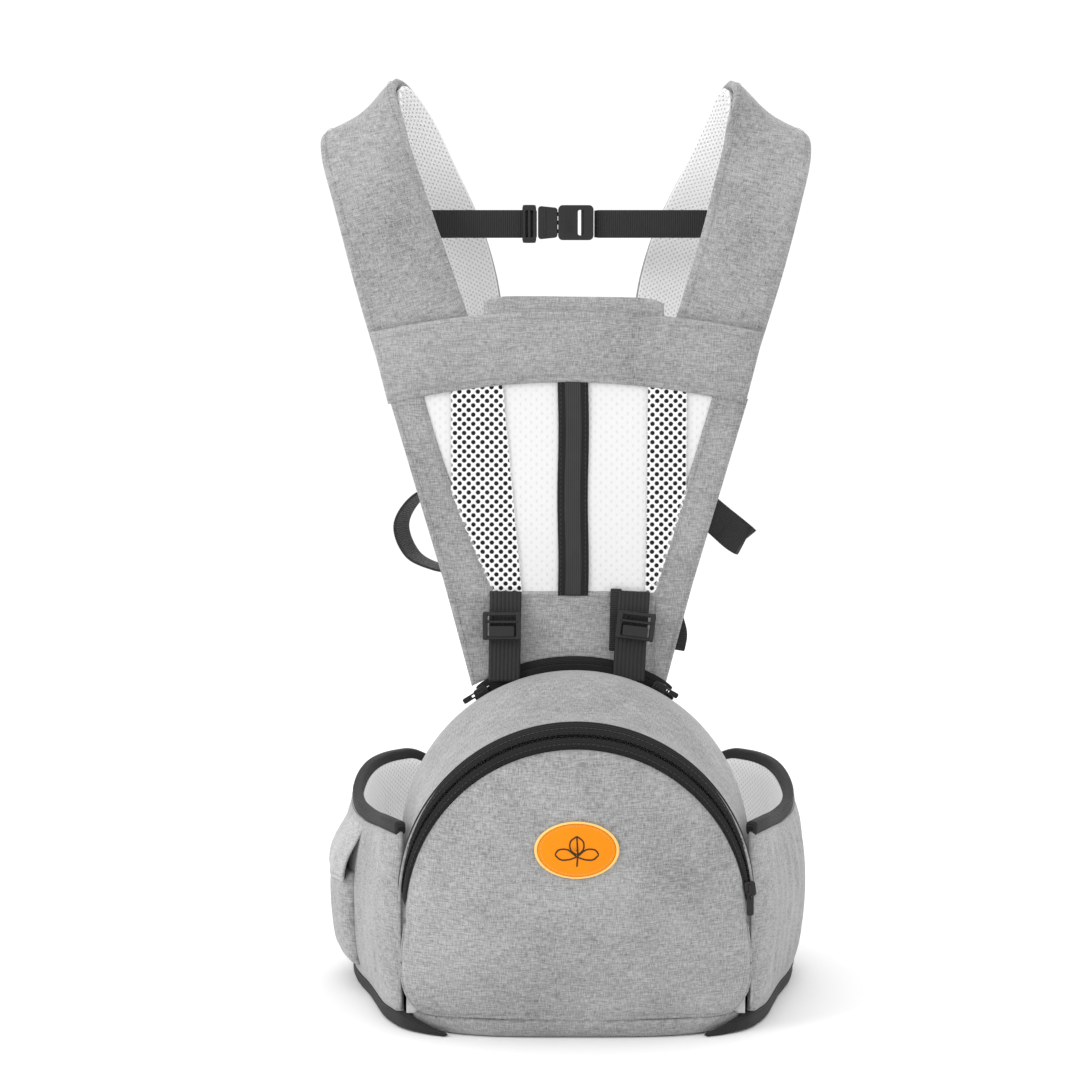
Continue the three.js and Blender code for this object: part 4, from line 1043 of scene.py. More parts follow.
def buildWing(label, side):  # padded wing, its lining, bindings along the edges and at the tip
    low = lambda u: wingFoot(u) + belt["bindingLow"] - 3 * mm
    high = lambda u: wingTop(u) - belt["bindingHigh"] + 3 * mm
    darts = lambda u, z: 1.6 * mm * bell(u - 0.5, 0.006)
    wing = wingPad(
        f"belt_wing_pad_{label}", side, belt["lead"], 1.0, low, high, (-0.4 * mm, 1.8 * mm),
        (-4 * mm, 6.5 * mm), 26 * mm, nu=140, groove=darts, ripple=0.6 * mm)
    place(wing, "seat", "heather", "heather_fabric", f"belt_wing_{label}", fill=0.7)
    lining = wingPad(
        f"belt_lining_pad_{label}", side, belt["front"], 1.0, low, high, (-3.4 * mm, -0.7 * mm),
        (-10.4 * mm, -4.3 * mm), 26 * mm, nu=80)
    place(lining, "seat", "air", "air_mesh", f"belt_lining_{label}", fill=0.6)
    # grosgrain folded over the upper and lower edge
    u = np.linspace(belt["lead"], 1.0, 170)
    edges = [("top", belt["bindingHigh"], wingTop), ("bottom", belt["bindingLow"], wingFoot)]
    for name, height, edge in edges:
        z = edge(u) + (-height / 2 if name == "top" else height / 2)
        path = wingPoint(side, u, z, belt["edgeMiddle"])
        out = unit(wingPoint(side, u, z, belt["edgeMiddle"] + mm) - path)
        if name == "bottom":  # it runs on under the pouch's corner
            tall = height * np.array([0.2, 0.45, 0.72, 0.92])
            ahead = np.array([[side * x * mm, y * mm, h / 2] for (x, y), h in zip(belt["run"], tall)])
            path = through(np.concatenate([ahead, path[3::4]]), 200)
            along = unit(np.gradient(path, axis=0))
            out = points(along[:, 1] * side, -along[:, 0] * side, 0)
        tallness = height
        thick = belt["edgeThick"]
        if name == "bottom":  # lower and thinner under the corner
            share = np.clip(lengths(path) / (48 * mm), 0, 1)
            tallness, thick = height * lerp(0.2, 1, share), thick * lerp(0.3, 1, ease(share))
        binding = band(
            f"belt_{name}_edge_{label}", path, out, thick, tallness, power=3.6, count=28, taper=2.5 * mm)
        place(binding, "seat", "binding", "binding", f"belt_{name}_binding_{label}")
        seamZ = edge(u) + (-(height - 1.6 * mm) if name == "top" else height - 1.6 * mm)
        row = wingPoint(side, u, seamZ, belt["edgeMiddle"] + belt["edgeThick"] / 2)
        outward = unit(wingPoint(side, u, seamZ, 2 * mm) - wingPoint(side, u, seamZ, 0))
        sew("seat", "threadBlack", row, outward, 0.0)
    z = np.linspace(wingFoot(1.0) + 4 * mm, wingTop(1.0) - 4 * mm, 40)
    path = wingPoint(side, np.full(40, 1.0), z, belt["edgeMiddle"])
    out = unit(wingPoint(side, np.full(40, 1.0), z, belt["edgeMiddle"] + mm) - path)
    tip = band(f"belt_tip_edge_{label}", path, out, belt["edgeThick"], 8 * mm, power=3.6, count=28)
    place(tip, "seat", "binding", "binding")


for label, side in [("left", -1), ("right", 1)]:
    buildWing(label, side)


def webbingPiece(name, node, body, finish="webbing"):  # a straight run that fills its node's box
    low, high = np.array(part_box(node))
    path = points(np.linspace(low[0], high[0], 30), (low[1] + high[1]) / 2, (low[2] + high[2]) / 2)
    piece = band(name, path, (0, 0, 1), high[2] - low[2], high[1] - low[1], power=8, count=40)
    place(piece, body, finish, "webbing", node)


webbingPiece("waist_webbing_left", "belt_webbing_left", "belt_left_half", "adjuster")
webbingPiece("waist_webbing_right", "belt_webbing_right", "seat", "adjuster")


def sideRelease(prefix, femaleNode, maleNode, femaleBody, maleBody):
    # female: a socket with a window at each side and a webbing bar; male: a plate, a rib and three prongs
    low, high = np.array(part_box(femaleNode))
    c = (low + high) / 2
    hx, hy, hz = (high - low) / 2
    waist = roundRect(hx, hz, hz * 0.28)
    waist[:, 1] *= 1 - 0.09 * np.cos(np.clip(waist[:, 0] / hx, -1, 1) * np.pi / 2) ** 2
    slot = roundRect(hx * 0.17, hz * 0.72, hx * 0.12, hx * 0.28)
    shell = prism(waist, -hy, -hy * 0.45, slot)
    rear = prism(waist, hy * 0.45, hy, slot)
    deep = hy * 0.46
    bars = [block(hx * 0.34, hz * 0.96, hx * 0.2, -deep, deep, hx * 0.64)]
    for s in (1, -1):
        bars.append(block(hx * 0.5, hz * 0.12, hz * 0.05, -deep, deep, -hx * 0.36, s * hz * 0.86))
    for k in range(3):  # ridges for the thumb
        ridgeX = -hx * (0.25 + 0.16 * k)
        bars.append(block(hx * 0.03, hz * 0.6, hx * 0.02, -hy * 1.06, -hy * 0.98, ridgeX))
    female = moulded(f"{prefix}_socket", [shell, rear, *bars], c, 0.6 * mm)
    place(female, femaleBody, "plastic", "buckle_plastic", femaleNode)
    socket = low[0]
    low, high = np.array(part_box(maleNode))
    body = (low + high) / 2
    hz, hy = (high[2] - low[2]) / 2, (high[1] - low[1]) / 2
    plateHalf = (socket - 0.5 * mm - low[0]) / 2
    px = low[0] + plateHalf - body[0]
    outline = roundRect(plateHalf, hz, hz * 0.2, px)
    outline[:, 1] *= 1 - 0.08 * (outline[:, 0] - px > 0)
    plate = prism(outline, -hy * 0.85, hy * 0.85)
    rib = block(plateHalf * 0.12, hz * 0.8, plateHalf * 0.1, -hy * 1.0, -hy * 0.8, px - plateHalf * 0.3)
    start = socket - 1 * mm - body[0]
    prongs = []
    for k in (-1, 0, 1):
        half = (high[0] - socket) * (1.0 if k else 0.9) / 2
        prongs.append(block(half, hz * 0.13, hz * 0.1, -hy * 0.4, hy * 0.4, start + half, k * hz * 0.52))
    male = moulded(f"{prefix}_prongs", [plate, rib, *prongs], body, 0.5 * mm)
    place(male, maleBody, "plastic", "buckle_plastic", maleNode)


def keeper(name, node, body):  # a tri-glide: a frame with a middle bar in front of the webbing
    low, high = np.array(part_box(node))
    c = (low + high) / 2
    hx, hy, hz = (high - low) / 2
    edge, hole = roundRect(hx, hz, hx * 0.45), roundRect(hx * 0.55, hz - 4.4 * mm, hx * 0.2)
    parts = [prism(edge, -hy, -hy * 0.35, hole), prism(edge, hy * 0.35, hy, hole)]
    parts.append(block(hx * 0.2, hz - 1.4 * mm, hx * 0.1, -hy * 0.95, -hy * 0.4))
    for s in (-1, 1):
        parts.append(block(hx * 0.92, 1.2 * mm, 0.5 * mm, -hy * 0.5, hy * 0.5, 0, s * (hz - 1.3 * mm)))
    place(moulded(name, parts, c, 0.5 * mm), body, "plastic", "buckle_plastic", node)


sideRelease("waist_buckle", "belt_buckle_female", "belt_buckle_male", "seat", "belt_left_half")
keeper("waist_keeper", "belt_triglide", "belt_keeper")


def buildSidePocket():  # a full pocket low on the wing and the flap over it
    low = lambda u: 22 * mm
    high = lambda u: 96 * mm
    out = belt["outer"]
    inside = out + 0.8 * mm
    pocket = wingPad(
        "side_pocket_bag", -1, 0.2, 7 / 15, low, high, (inside, out + 3 * mm), (inside, out + 10.5 * mm),
        15 * mm, nu=70, nv=44, ripple=0.8 * mm)
    place(pocket, "seat", "heather", "heather_fabric", "side_pocket", fill=0.45)
    # the flap hangs from under the top binding and stands off over the pocket's mouth
    u = lerp(0.19, 0.475, crowded(60, 0.6))[:, None]
    v = crowded(34, 0.5)[None]
    z = lerp(134 * mm, 90 * mm, v) - 4 * mm * np.sin(np.pi * (u - 0.19) / 0.285) * v
    stand = lerp(out - 1.5 * mm, out + 11 * mm, np.sin(np.pi / 2 * np.minimum(1, v * 1.15)) ** 1.4)
    wave = 0.9 * mm * np.sin(u * 44) * v
    middle = wingPoint(-1, u, z, stand + wave)
    d = edgeDistance(middle)
    half = 1.5 * mm * (0.3 + 0.7 * padProfile(d, 3 * mm)) - 0.4 * mm * bell(d - 4 * mm, 1.2 * mm)
    face = wingPoint(-1, u, z, stand + wave + half)
    back = wingPoint(-1, u, z, stand + wave - half)
    flap = slab("side_pocket_lid", face, back, gridUv(middle))
    # the flap gets the brighter copy of the grey cloth as painted light
    place(flap, "pocket_flap", "heatherPaintedLight", "heather_fabric", "side_pocket_flap", fill=0.3)
    k = int(np.argmin(np.abs(crowded(34, 0.5) - 0.92)))
    sew("pocket_flap", "thread", face[3:-3, k], (-1, -0.1, 0), 0.1 * mm)
    line = np.linspace(0.215, 0.45, 60)
    sew("seat", "thread", wingPoint(-1, line, np.full(60, 27 * mm), out + 8.2 * mm), (-1, -0.1, 0), 0.0)


buildSidePocket()
print("belt built")

# folding back panel
panel = {
    "y": 48.6 * mm, "lean": -6 * mm, "windowTop": 470 * mm, "windowLow": (61 * mm, 317 * mm),
    "flare": {-1: (0.47, -0.66), 1: (0.32, -0.1)},
    "sideTop": (140 * mm, 468 * mm), "sideMid": (98 * mm, 325 * mm), "sideLow": (77 * mm, 245 * mm),
}
yoke = {"low": 467 * mm, "high": 521 * mm, "arch": 17 * mm, "lowHalf": 140 * mm, "highHalf": 154 * mm}
seatZip = {"radius": 137.9 * mm, "tape": 5.6 * mm, "sweep": 33}
backPanel = "back_panel"


def edgeHalf(z):  # half-width of the panel: straight from the top to the middle, and on to the foot
    (tx, tz), (mx, mz), (lx, lz) = panel["sideTop"], panel["sideMid"], panel["sideLow"]
    return np.where(z > mz, lerp(mx, tx, (z - mz) / (tz - mz)), lerp(lx, mx, (z - lz) / (mz - lz)))


def windowHalf(z, side):  # half-width of the window: a slope and a slight curve, each side its own
    half, foot = panel["windowLow"]
    slope, curve = panel["flare"][side]
    return half + slope * (z - foot) + curve * (z - foot) ** 2


def archZ(x, radius):  # height of a circle about the seat's spring line: z = spring + sqrt(r^2 - x^2)
    return seat["rearSpring"] + np.sqrt(radius**2 - x**2)


def yokeLow(x):  # a parabola, highest at the yoke's middle
    return yoke["low"] + yoke["arch"] * (1 - ((x - panel["lean"]) / yoke["lowHalf"]) ** 2)


def yokeHigh(x):  # the same for the upper edge, a little wider
    return yoke["high"] + yoke["arch"] * (1 - ((x - panel["lean"]) / yoke["highHalf"]) ** 2)


def flatUv(g):  # metres across and up
    return g[..., [0, 2]]


footRadius = seatZip["radius"] + seatZip["tape"] - 1 * mm


def buildLowerPanel():  # the cloth between the zip's circle and the window's foot
    half = panel["windowLow"][0] + 3 * mm
    x = lerp(-half, half, crowded(70))[:, None]
    v = crowded(40)[None]
    z = lerp(archZ(x, footRadius), panel["windowLow"][1] + 1.5 * mm, v)
    middle = points(x, panel["y"] + 2.2 * mm, z)
    piece, _ = pad(
        "panel_lower_cloth", middle, 2.2 * mm, 1.6 * mm, 3 * mm, seam=4 * mm, seamDepth=0.5 * mm,
        uv=flatUv(middle))
    place(piece, backPanel, "heather", "heather_fabric", "panel_lower", fill=0.5)
    xs = np.linspace(-half + 3 * mm, half - 3 * mm, 90)
    row = points(xs, panel["y"] + 0.2 * mm, panel["windowLow"][1] - 3 * mm)
    sew(backPanel, "thread", row, (0, -1, 0), 0.1 * mm)


def borderGrid(side, nu=26, nv=150):  # from the window's edge to the panel's edge, all the way up
    u = crowded(nu, 0.7)[:, None]
    v = crowded(nv, 0.4)[None]
    half, foot = panel["windowLow"]
    innerLow, outerLow = archZ(half, footRadius), archZ(panel["sideLow"][0], footRadius)
    innerHigh = yokeLow(side * windowHalf(panel["windowTop"], side)) + 3 * mm
    outerHigh = yokeLow(side * panel["sideTop"][0] + panel["lean"]) + 3 * mm
    z = lerp(lerp(innerLow, outerLow, u), lerp(innerHigh, outerHigh, u), v)
    soft = 4 * mm
    above = np.log1p(np.exp((z - foot) / soft)) * soft  # a rounded corner where the window starts
    inner = windowHalf(foot + above, side)
    outer = edgeHalf(z) + side * 0.75 * panel["lean"]
    x = lerp(inner, outer, u)
    # the cloth is joined across just above the zip
    dip = 0.9 * mm * bell(z - 309 * mm, 1.4 * mm)
    return points(side * x, panel["y"] + 2.0 * mm + dip, z)


def buildBorder(label, side):
    middle = borderGrid(side)
    piece, _ = pad(
        f"panel_side_{label}", middle, 2.6 * mm, 1.8 * mm, 4 * mm, seam=4.2 * mm, seamDepth=0.5 * mm,
        flip=side > 0, uv=flatUv(middle))
    place(piece, backPanel, "heather", "heather_fabric", f"panel_border_{label}", fill=0.5)
    for share in (0.2, 0.82):
        column = middle[int(share * 25)][3:-3] - [0, 2.2 * mm, 0]
        sew(backPanel, "thread", column, (0, -1, 0), 0.1 * mm)


def buildWindow():  # the knit between the two borders, up into the yoke's seam
    share = np.linspace(-1, 1, 90)[:, None]
    v = np.linspace(0, 1, 70)[None]
    halfAt = lambda z: np.where(share < 0, windowHalf(z, -1), windowHalf(z, 1)) + 2.5 * mm
    z = lerp(panel["windowLow"][1] - 3 * mm, yokeLow(share * halfAt(panel["windowTop"])) + 2 * mm, v)
    x = share * halfAt(z)
    # the knit hangs with a very slight belly between its seams
    belly = 1.0 * mm * np.cos(share * np.pi / 2) * np.sin(np.pi * v)
    face = points(x, panel["y"] + 2.6 * mm - belly, z)
    sheet = slab("window_net", face, face + [0, 1.2 * mm, 0], flatUv(face))
    place(sheet, backPanel, "window", "air_mesh", "window_mesh")


holes = {"pitch": 7.2 * mm, "radius": 1.85 * mm, "thick": 0.8 * mm}


def perforated(name, node, limits, y):
    # square cells turned 45 degrees, each with an eight-sided hole, cut off along both edges
    pitch, hole = holes["pitch"], holes["radius"]
    low, high = np.array(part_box(node))
    count = 60
    i, j = np.meshgrid(np.arange(-count, count), np.arange(-count, count), indexing="ij")
    x = (low[0] + high[0]) / 2 + (i + j) * pitch / 2
    z = low[2] + (i - j) * pitch / 2
    near, far = limits(z)
    reach = 0.3 * pitch
    foot = panel["windowLow"][1] + 0.5 * mm
    keep = (x > near - reach) & (x < far + reach) & (far > near)
    keep = keep & (z > foot - reach) & (z < yokeLow(x) + 3 * mm)
    x, z = x[keep], z[keep]
    a = np.arange(8) * np.pi / 4
    side = np.where(np.arange(8) % 2 == 0, pitch / 2, pitch / (2 * math.sqrt(2)))
    outline = np.stack([np.cos(a) * side, np.sin(a) * side], 1)
    around = np.stack([np.cos(a), np.sin(a)], 1) * hole

    def ring(shape, depth):
        px, pz = x[:, None] + shape[None, :, 0], np.maximum(z[:, None] + shape[None, :, 1], foot)
        first, last = limits(pz)
        return points(np.clip(px, first, np.maximum(last, first)), depth, pz)

    lip = 0.25 * mm
    thick = holes["thick"]
    layers = [ring(outline, y), ring(around * 1.12, y), ring(around, y + lip)]
    layers += [ring(around, y + thick), ring(outline, y + thick)]
    verts = np.stack(layers, 1).reshape(-1, 3)
    k = np.arange(8)
    n = np.roll(k, -1)
    loops = [np.stack([g * 8 + k, g * 8 + n, g * 8 + 8 + n, g * 8 + 8 + k], 1) for g in range(4)]
    faces = (np.arange(len(x))[:, None, None] * 40 + np.concatenate(loops)[None]).reshape(-1, 4)
    corners = verts[faces]
    area = np.linalg.norm(np.cross(corners[:, 2] - corners[:, 0], corners[:, 3] - corners[:, 1]), axis=1)
    knit = makeMesh(name, verts, faces[area > 1e-10], verts[:, [0, 2]])
    place(knit, backPanel, "perforated", "perforated_mesh", node)


def buildStrips():  # perforated knit beside the middle tape, each over a near-black sheet that is painted shade seen through the holes
    foot = panel["windowLow"][1]
    strips = {"left": (-1, 41, 56, 97), "right": (1, 56, 57, 88)}
    for label, (sign, innerLow, innerTop, reach) in strips.items():

        def limits(z, inset=0.0):  # lowest and highest x of the strip at a height
            t = (z - foot) / (480 * mm - foot)
            inner = lerp(innerLow, innerTop, t) * mm + inset
            outer = np.minimum(windowHalf(z, sign) + 2.5 * mm, reach * mm) - inset
            return (inner, outer) if sign > 0 else (-outer, -inner)

        perforated(f"perforated_strip_{label}", f"window_strip_{label}", limits, panel["y"] + 0.35 * mm)
        # a dark sheet just behind the knit, painted shade for its holes
        v = np.linspace(0, 1, 60)[None]
        u = np.linspace(0, 1, 14)[:, None]
        z = lerp(foot + 1.5 * mm, 482 * mm, v)
        first, last = limits(z, 0.7 * mm)
        x = lerp(first, np.maximum(last, first + 0.2 * mm), u)
        z = np.minimum(z, yokeLow(x) + 2 * mm)
        face = points(x, panel["y"] + 1.25 * mm, z)
        holeShadeSheet = slab(f"strip_backing_{label}", face, face + [0, 0.3 * mm, 0], flatUv(face))
        place(holeShadeSheet, backPanel, "holeShadeSheet", "zip_tape")


def buildCentreStrip():  # a woven tape up the middle and the narrow flap on it
    low = panel["windowLow"][1] - 2 * mm
    for name, node, half, y, finish in [
        ("centre_tape", "centre_zip_tape", 12 * mm, panel["y"] + 0.3 * mm, "tape"),
        ("centre_flap", "centre_zip_cover", 6.3 * mm, panel["y"] - 0.5 * mm, "cover"),
    ]:
        x = lerp(-half, half, crowded(16))[:, None] - 1 * mm
        v = np.linspace(0, 1, 90)[None]
        z = lerp(low, yokeLow(x) + 2 * mm, v)
        sway = 0.25 * mm * np.sin(z * 160) * np.sin(np.pi * (x + half) / (2 * half))
        middle = points(x + 0.4 * mm * np.sin(z * 60), y + sway, z)
        piece, _ = pad(name, middle, 0.7 * mm, 0.6 * mm, 1.2 * mm, uv=flatUv(middle))
        place(piece, backPanel, finish, "zip_tape", node)
    for offset in (-10.6 * mm, 8.6 * mm):
        line = points(offset, panel["y"] - 0.5 * mm, np.linspace(low, 484 * mm, 200))
        sew(backPanel, "threadBlack", line, (0, -1, 0), 0.0)


def buildYoke():  # the arched padded yoke, then the head tab above it
    share = lerp(-1, 1, crowded(150, 0.35))[:, None]
    v = crowded(40, 0.7)[None]
    half = lerp(yoke["lowHalf"], yoke["highHalf"], v)
    z = lerp(yoke["low"] - 1 * mm, yoke["high"] + 1 * mm, v) + yoke["arch"] * (1 - share**2)
    x = panel["lean"] + share * half
    ripple = 0.5 * mm * np.sin(x * 110 + 2 * np.sin(z * 80)) * np.sin(np.pi * v) ** 2
    middle = points(x, panel["y"] + 0.9 * mm + ripple, z)
    piece, face = pad(
        "yoke_pad", middle, 3.6 * mm, 4.4 * mm, 6 * mm, seam=4.6 * mm, seamDepth=0.9 * mm, uv=flatUv(middle),
        puff=(7 * mm, 1.6 * mm))
    place(piece, backPanel, "heather", "heather_fabric", "yoke_band", fill=0.6)
    for row in (0.1, 0.9):
        k = int(np.argmin(np.abs(crowded(40, 0.7) - row)))
        sew(backPanel, "thread", face[3:-3, k], (0, -1, 0), 0.1 * mm)

    tab = {"half": 70.5 * mm, "top": 550 * mm, "corner": 9}
    share = lerp(-1, 1, crowded(90, 0.5))[:, None]
    v = crowded(22, 0.7)[None]
    x = share * tab["half"] - 0.5 * mm
    top = tab["top"] - 5 * mm * np.abs(share) ** tab["corner"] - 0.8 * mm * (x / tab["half"])
    z = lerp(yokeHigh(x) - 6 * mm, top, v)
    middle = points(x, panel["y"] + 2.6 * mm, z)
    piece, _ = pad("head_tab_pad", middle, 2.6 * mm, 3.2 * mm, 4 * mm, uv=flatUv(middle))
    place(piece, backPanel, "heather", "heather_fabric", "head_tab", fill=0.6)
    xs = np.linspace(-tab["half"] * 0.95, tab["half"] * 0.95, 100)
    row = points(xs, panel["y"] - 0.1 * mm, yokeHigh(xs) + 3.5 * mm)
    sew(backPanel, "thread", row, (0, -1, 0), 0.1 * mm)


buildLowerPanel()
for label, side in [("left", -1), ("right", 1)]:
    buildBorder(label, side)
buildWindow()
buildStrips()
buildCentreStrip()
buildYoke()


def buildSeatZip():  # two tapes on one arc, the coil between them, a slider at each end
    r, centreZ = seatZip["radius"], seat["rearSpring"]
    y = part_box("panel_zip_tape_lower")[0][1]
    lower = arcTape(
        "seat_zip_lower", centreZ, r - seatZip["tape"] - 1 * mm, r + 1.2 * mm, seatZip["sweep"] + 2,
        y + 1 * mm, y, 2.2 * mm, 0.0, 90)
    place(lower, "seat", "tape", "zip_tape", "panel_zip_tape_lower")
    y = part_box("panel_zip_tape_upper")[0][1]
    upper = arcTape(
        "seat_zip_upper", centreZ, r + 0.2 * mm, r + seatZip["tape"] + 1 * mm, seatZip["sweep"],
        y, y + 1.8 * mm, 1.6 * mm, 0.0, 90)
    place(upper, backPanel, "tape", "zip_tape", "panel_zip_tape_upper")
    path = archPath(centreZ, r, seatZip["sweep"] - 0.5, y - 2.6 * mm, 150)
    coil = coilMesh("seat_zip_teeth", path, (0, -1, 0), 4.2 * mm, 1.7 * mm, 1.1 * mm)
    place(coil, "seat", "coil", "zip_coil")
    for label, side in [("left", -1), ("right", 1)]:
        box = np.array(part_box(f"panel_zip_slider_{label}"))
        angle = math.radians(seatZip["sweep"] - (1 if side < 0 else 4)) * side
        head = block(5.6 * mm, 4.2 * mm, 2 * mm, -1.5 * mm, 1.5 * mm)
        bridge = block(3.2 * mm, 1.2 * mm, 0.8 * mm, -2.8 * mm, -1.4 * mm)
        edge = roundRect(6 * mm, 2.1 * mm, 1.2 * mm, side * 10 * mm, 1 * mm)
        hole = roundRect(1.6 * mm, 0.9 * mm, 0.6 * mm, side * 6.6 * mm, 1 * mm)
        verts, faces = joined([head, bridge, prism(edge, -0.9 * mm, 0.9 * mm, hole)])
        verts = swung(verts, angle)
        centre = [r * math.sin(angle), (box[0][1] + box[1][1]) / 2, centreZ + r * math.cos(angle)]
        piece = moulded(f"seat_zip_slider_{label}", [(verts, faces)], centre, 0.35 * mm)
        place(piece, f"panel_slider_{label}", "metal", "zip_metal", f"panel_zip_slider_{label}")


buildSeatZip()
print("panel built")

# shoulder straps
strap = {
    "path": [
        [-107, 62.5, 506], [-131, 66, 578], [-148, 70, 628], [-160, 76, 663], [-163, 88, 683],
        [-156, 104, 692], [-143, 122, 678], [-122, 134, 640], [-98, 137, 590], [-85, 130, 546],
        [-76, 114, 503], [-69, 98, 460], [-66, 90, 432],
    ],
    "across": [
        [0.95, 0, 0.31], [0.95, 0, 0.31], [0.9, 0.04, 0.42], [0.74, 0.12, 0.66], [0.8, 0.1, 0.56],
        [0.92, 0, 0.36], [0.96, 0, 0.25], [0.98, 0, 0.15],
    ],
    "width": {"left": (79 * mm, 70 * mm), "right": (70 * mm, 70 * mm)},
    "tail": 43 * mm, "grey": 9.6 * mm, "mesh": 5.4 * mm,
}
strapSteps = 150


def strapLine(side):  # the strap's middle line and the direction across it, leaning as the carrier stands
    p = np.array(strap["path"], float)
    a = np.array(strap["across"], float)
    crown = np.clip((p[:, 2] - 506) / 180, 0, 1)
    if side > 0:
        p[:, 0] += lerp(-8.5, -2, crown**2)
    else:
        p[:, 0] *= -1
        a[:, 0] *= -1
        p[:, 0] += lerp(1, -12.5, crown**2.2) * (1 - ease((p[:, 1] - 96) / 44))
    line = through(p * mm, strapSteps)
    return line, unit(through(a, strapSteps))


def buildStrap(label, side):  # padded outer and mesh lining carried along one line
    line, across = strapLine(side)
    share = np.linspace(0, 1, strapSteps)
    foot, full = strap["width"][label]
    width = lerp(lerp(foot, full, ease(share / 0.36)), strap["tail"], ease((share - 0.72) / 0.28))
    along = unit(np.gradient(line, axis=0))
    sideways = unit(across - along * np.sum(across * along, 1, keepdims=True))
    normal = np.cross(along, sideways) * -side
    greyLift = -side * (strap["grey"] / 2 - 1.6 * mm)
    meshLift = side * (1.9 * mm + strap["mesh"] / 2)
    for name, node, thick, lift, finish, slotName, power, narrow in [
        ("strap_pad", "shoulder_strap", strap["grey"], greyLift, "heather", "heather_fabric", 3.4, 0.0),
        ("strap_lining", "strap_mesh", strap["mesh"], meshLift, "air", "air_mesh", 4.5, 1.5 * mm),
    ]:
        piece = band(
            f"{name}_{label}", line, across, width - narrow, thick, power=power, count=64, lift=lift,
            taper=4 * mm)
        edges = line + sideways * (width / 2)[:, None] * [[[1]], [[-1]]] + normal * lift * -side
        ends = edges.mean(0)
        puffLater(piece, np.concatenate([*edges, ends[:3], ends[-3:]]), 7 * mm, 1.8 * mm)
        place(piece, backPanel, finish, slotName, f"{node}_{label}", fill=0.65)
    for edge in (-1, 1):
        row = line + sideways * edge * (width / 2 - 5 * mm)[:, None] + normal * (strap["grey"] - 2.0 * mm)
        sew(backPanel, "thread", row[4:-4], normal[4:-4], 0.1 * mm)


buildStrap("left", 1)
buildStrap("right", -1)


def ladderLock(name, node, body, tilt=0.0):
    # side cheeks, three cross bars and a thumb plate, turned by tilt in its own plane
    low, high = np.array(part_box(node))
    c = (low + high) / 2
    hx, hy, hz = (high - low) / 2
    parts = [block(hx * 0.13, hz, hx * 0.1, -hy, hy, s * hx * 0.87) for s in (-1, 1)]
    for k in (-1, 1):
        parts.append(block(hx * 0.9, hz * 0.13, hz * 0.08, -hy * 0.75, hy * 0.6, 0, k * hz * 0.86))
    parts.append(block(hx * 0.9, hz * 0.1, hz * 0.08, -hy * 1.0, hy * 0.2, 0, hz * 0.3))
    parts.append(block(hx * 0.66, hz * 0.4, hz * 0.12, -hy * 1.35, -hy * 0.5, 0, -hz * 0.38))
    verts, faces = joined(parts)
    lock = moulded(name, [(swung(verts, -tilt), faces)], c, 0.7 * mm, 3)
    place(lock, body, "plastic", "buckle_plastic", node)


def flatRun(name, stops, side, width, thick, steps, count, *nodes):  # flat webbing through its stops
    piece = band(name, through(stops, steps), side, width, thick, power=8, count=count)
    place(piece, backPanel, "webbing", "webbing", *nodes)


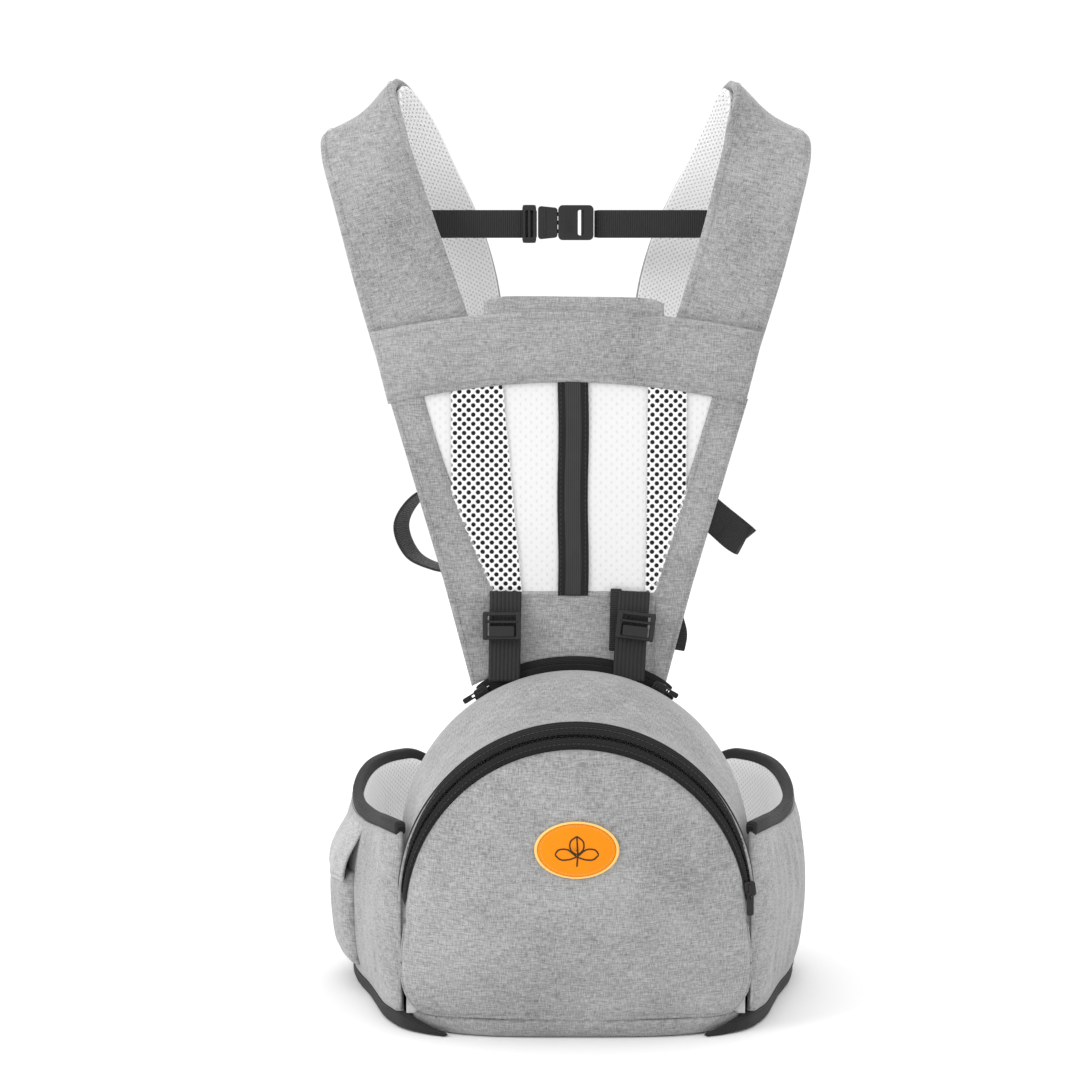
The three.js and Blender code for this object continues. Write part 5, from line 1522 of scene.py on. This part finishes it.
def buildUnderarm():  # webbing and lock under each arm, and the small side loop
    for label, side in (("left", 1), ("right", -1)):
        node = f"underarm_lock_{label}"
        ladderLock(f"tail_lock_{label}", node, node)
        # a short webbing comes out of the strap's tail and goes down through the lock
        top, lock = strapLine(side)[0][-1], np.array(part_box(node)).mean(0)
        stops = [top + [0, 1 * mm, 8 * mm], lerp(top, lock, 0.35), lerp(top, lock, 0.75) - [0, 1 * mm, 0]]
        stops.append(lock - [0, 0, 8 * mm])
        flatRun(f"tail_webbing_{label}", stops, (1, 0, 0), 24 * mm, 1.8 * mm, 40, 36)
    left = [
        [-66, 70, 398], [-98, 70, 400], [-122, 70, 393], [-137, 70, 370], [-128, 69, 346], [-108, 65, 336],
        [-88, 61, 333],
    ]
    right = [
        [64, 62, 411], [90, 62, 392], [112, 61, 375], [128, 60, 361], [135, 62.5, 357], [128, 63, 363],
        [112, 58, 376], [98, 54.5, 388],
    ]
    for label, stops, side, steps in [
        ("left", left, (0.42, 0.9, 0), 80), ("right", right, (0.64, 0, 0.77), 90),
    ]:
        flatRun(
            f"underarm_strap_{label}", np.array(stops) * mm, side, 25 * mm, 2 * mm, steps, 36,
            f"underarm_webbing_{label}")
    low, high = np.array(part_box("side_tab_right"))
    y = (low[1] + high[1]) / 2
    stops = [
        [low[0] + 5 * mm, y, high[2]], [high[0] - 6 * mm, y, (low[2] + high[2]) / 2],
        [low[0] + 6 * mm, y, low[2]],
    ]
    flatRun("side_loop_tab", stops, (1, 0, 0), 11 * mm, 2 * mm, 24, 24, "side_tab_right")


def buildChest():  # two straps, their buckle and the keeper
    webbingPiece("chest_strap_left", "chest_webbing_left", "chest_left_half")
    webbingPiece("chest_strap_right", "chest_webbing_right", backPanel)
    sideRelease("chest_clip", "chest_buckle_female", "chest_buckle_male", backPanel, "chest_left_half")
    keeper("chest_slide", "chest_triglide", "chest_keeper")


def buildAdjusters():  # straps that cross the fold, with their locks and a loose end
    for label, side in [("left", -1), ("right", 1)]:
        top = -54 if side < 0 else 47
        lean = -1 if side < 0 else -4
        stops = [
            [top, 46, 319], [top + lean * 0.2, 42.5, 306], [top + lean / 2, 40.4, 290],
            [top + lean * 0.8, 39, 272], [top + lean, 36.5, 258], [top + lean * 1.1, 35, 249],
        ]
        path = through(np.array(stops) * mm, 90)
        strapPiece = band(f"adjuster_strap_{label}", path, (1, 0, 0), 25 * mm, 1.9 * mm, power=8, count=40)
        strapPiece.data.materials.append(finishes["adjuster"])
        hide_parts(f"adjuster_webbing_{label}")
        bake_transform(strapPiece)
        tilt = math.radians(-7) if side > 0 else 0
        ladderLock(f"front_ladder_{label}", f"adjuster_lock_{label}", f"front_lock_{label}", tilt)
    loose = np.array([[33, 46.5, 321], [32.6, 44, 306], [32.2, 42.5, 288], [31.6, 42, 272]]) * mm
    flatRun("adjuster_loose_end", loose, (1, 0, 0), 9 * mm, 1.8 * mm, 40, 32)


buildUnderarm()
buildChest()
buildAdjusters()
print("straps built")

# inside pieces kept from the frame, with their own looks
for node, finish in [("seat_foam_core", "foam"), ("seat_base_board", "board")]:
    item = bpy.data.objects[node]
    for slotItem in item.material_slots:
        slotItem.material = finishes[finish]

puffAll()
print("padding puffed")
sewAll()
print("stitched")
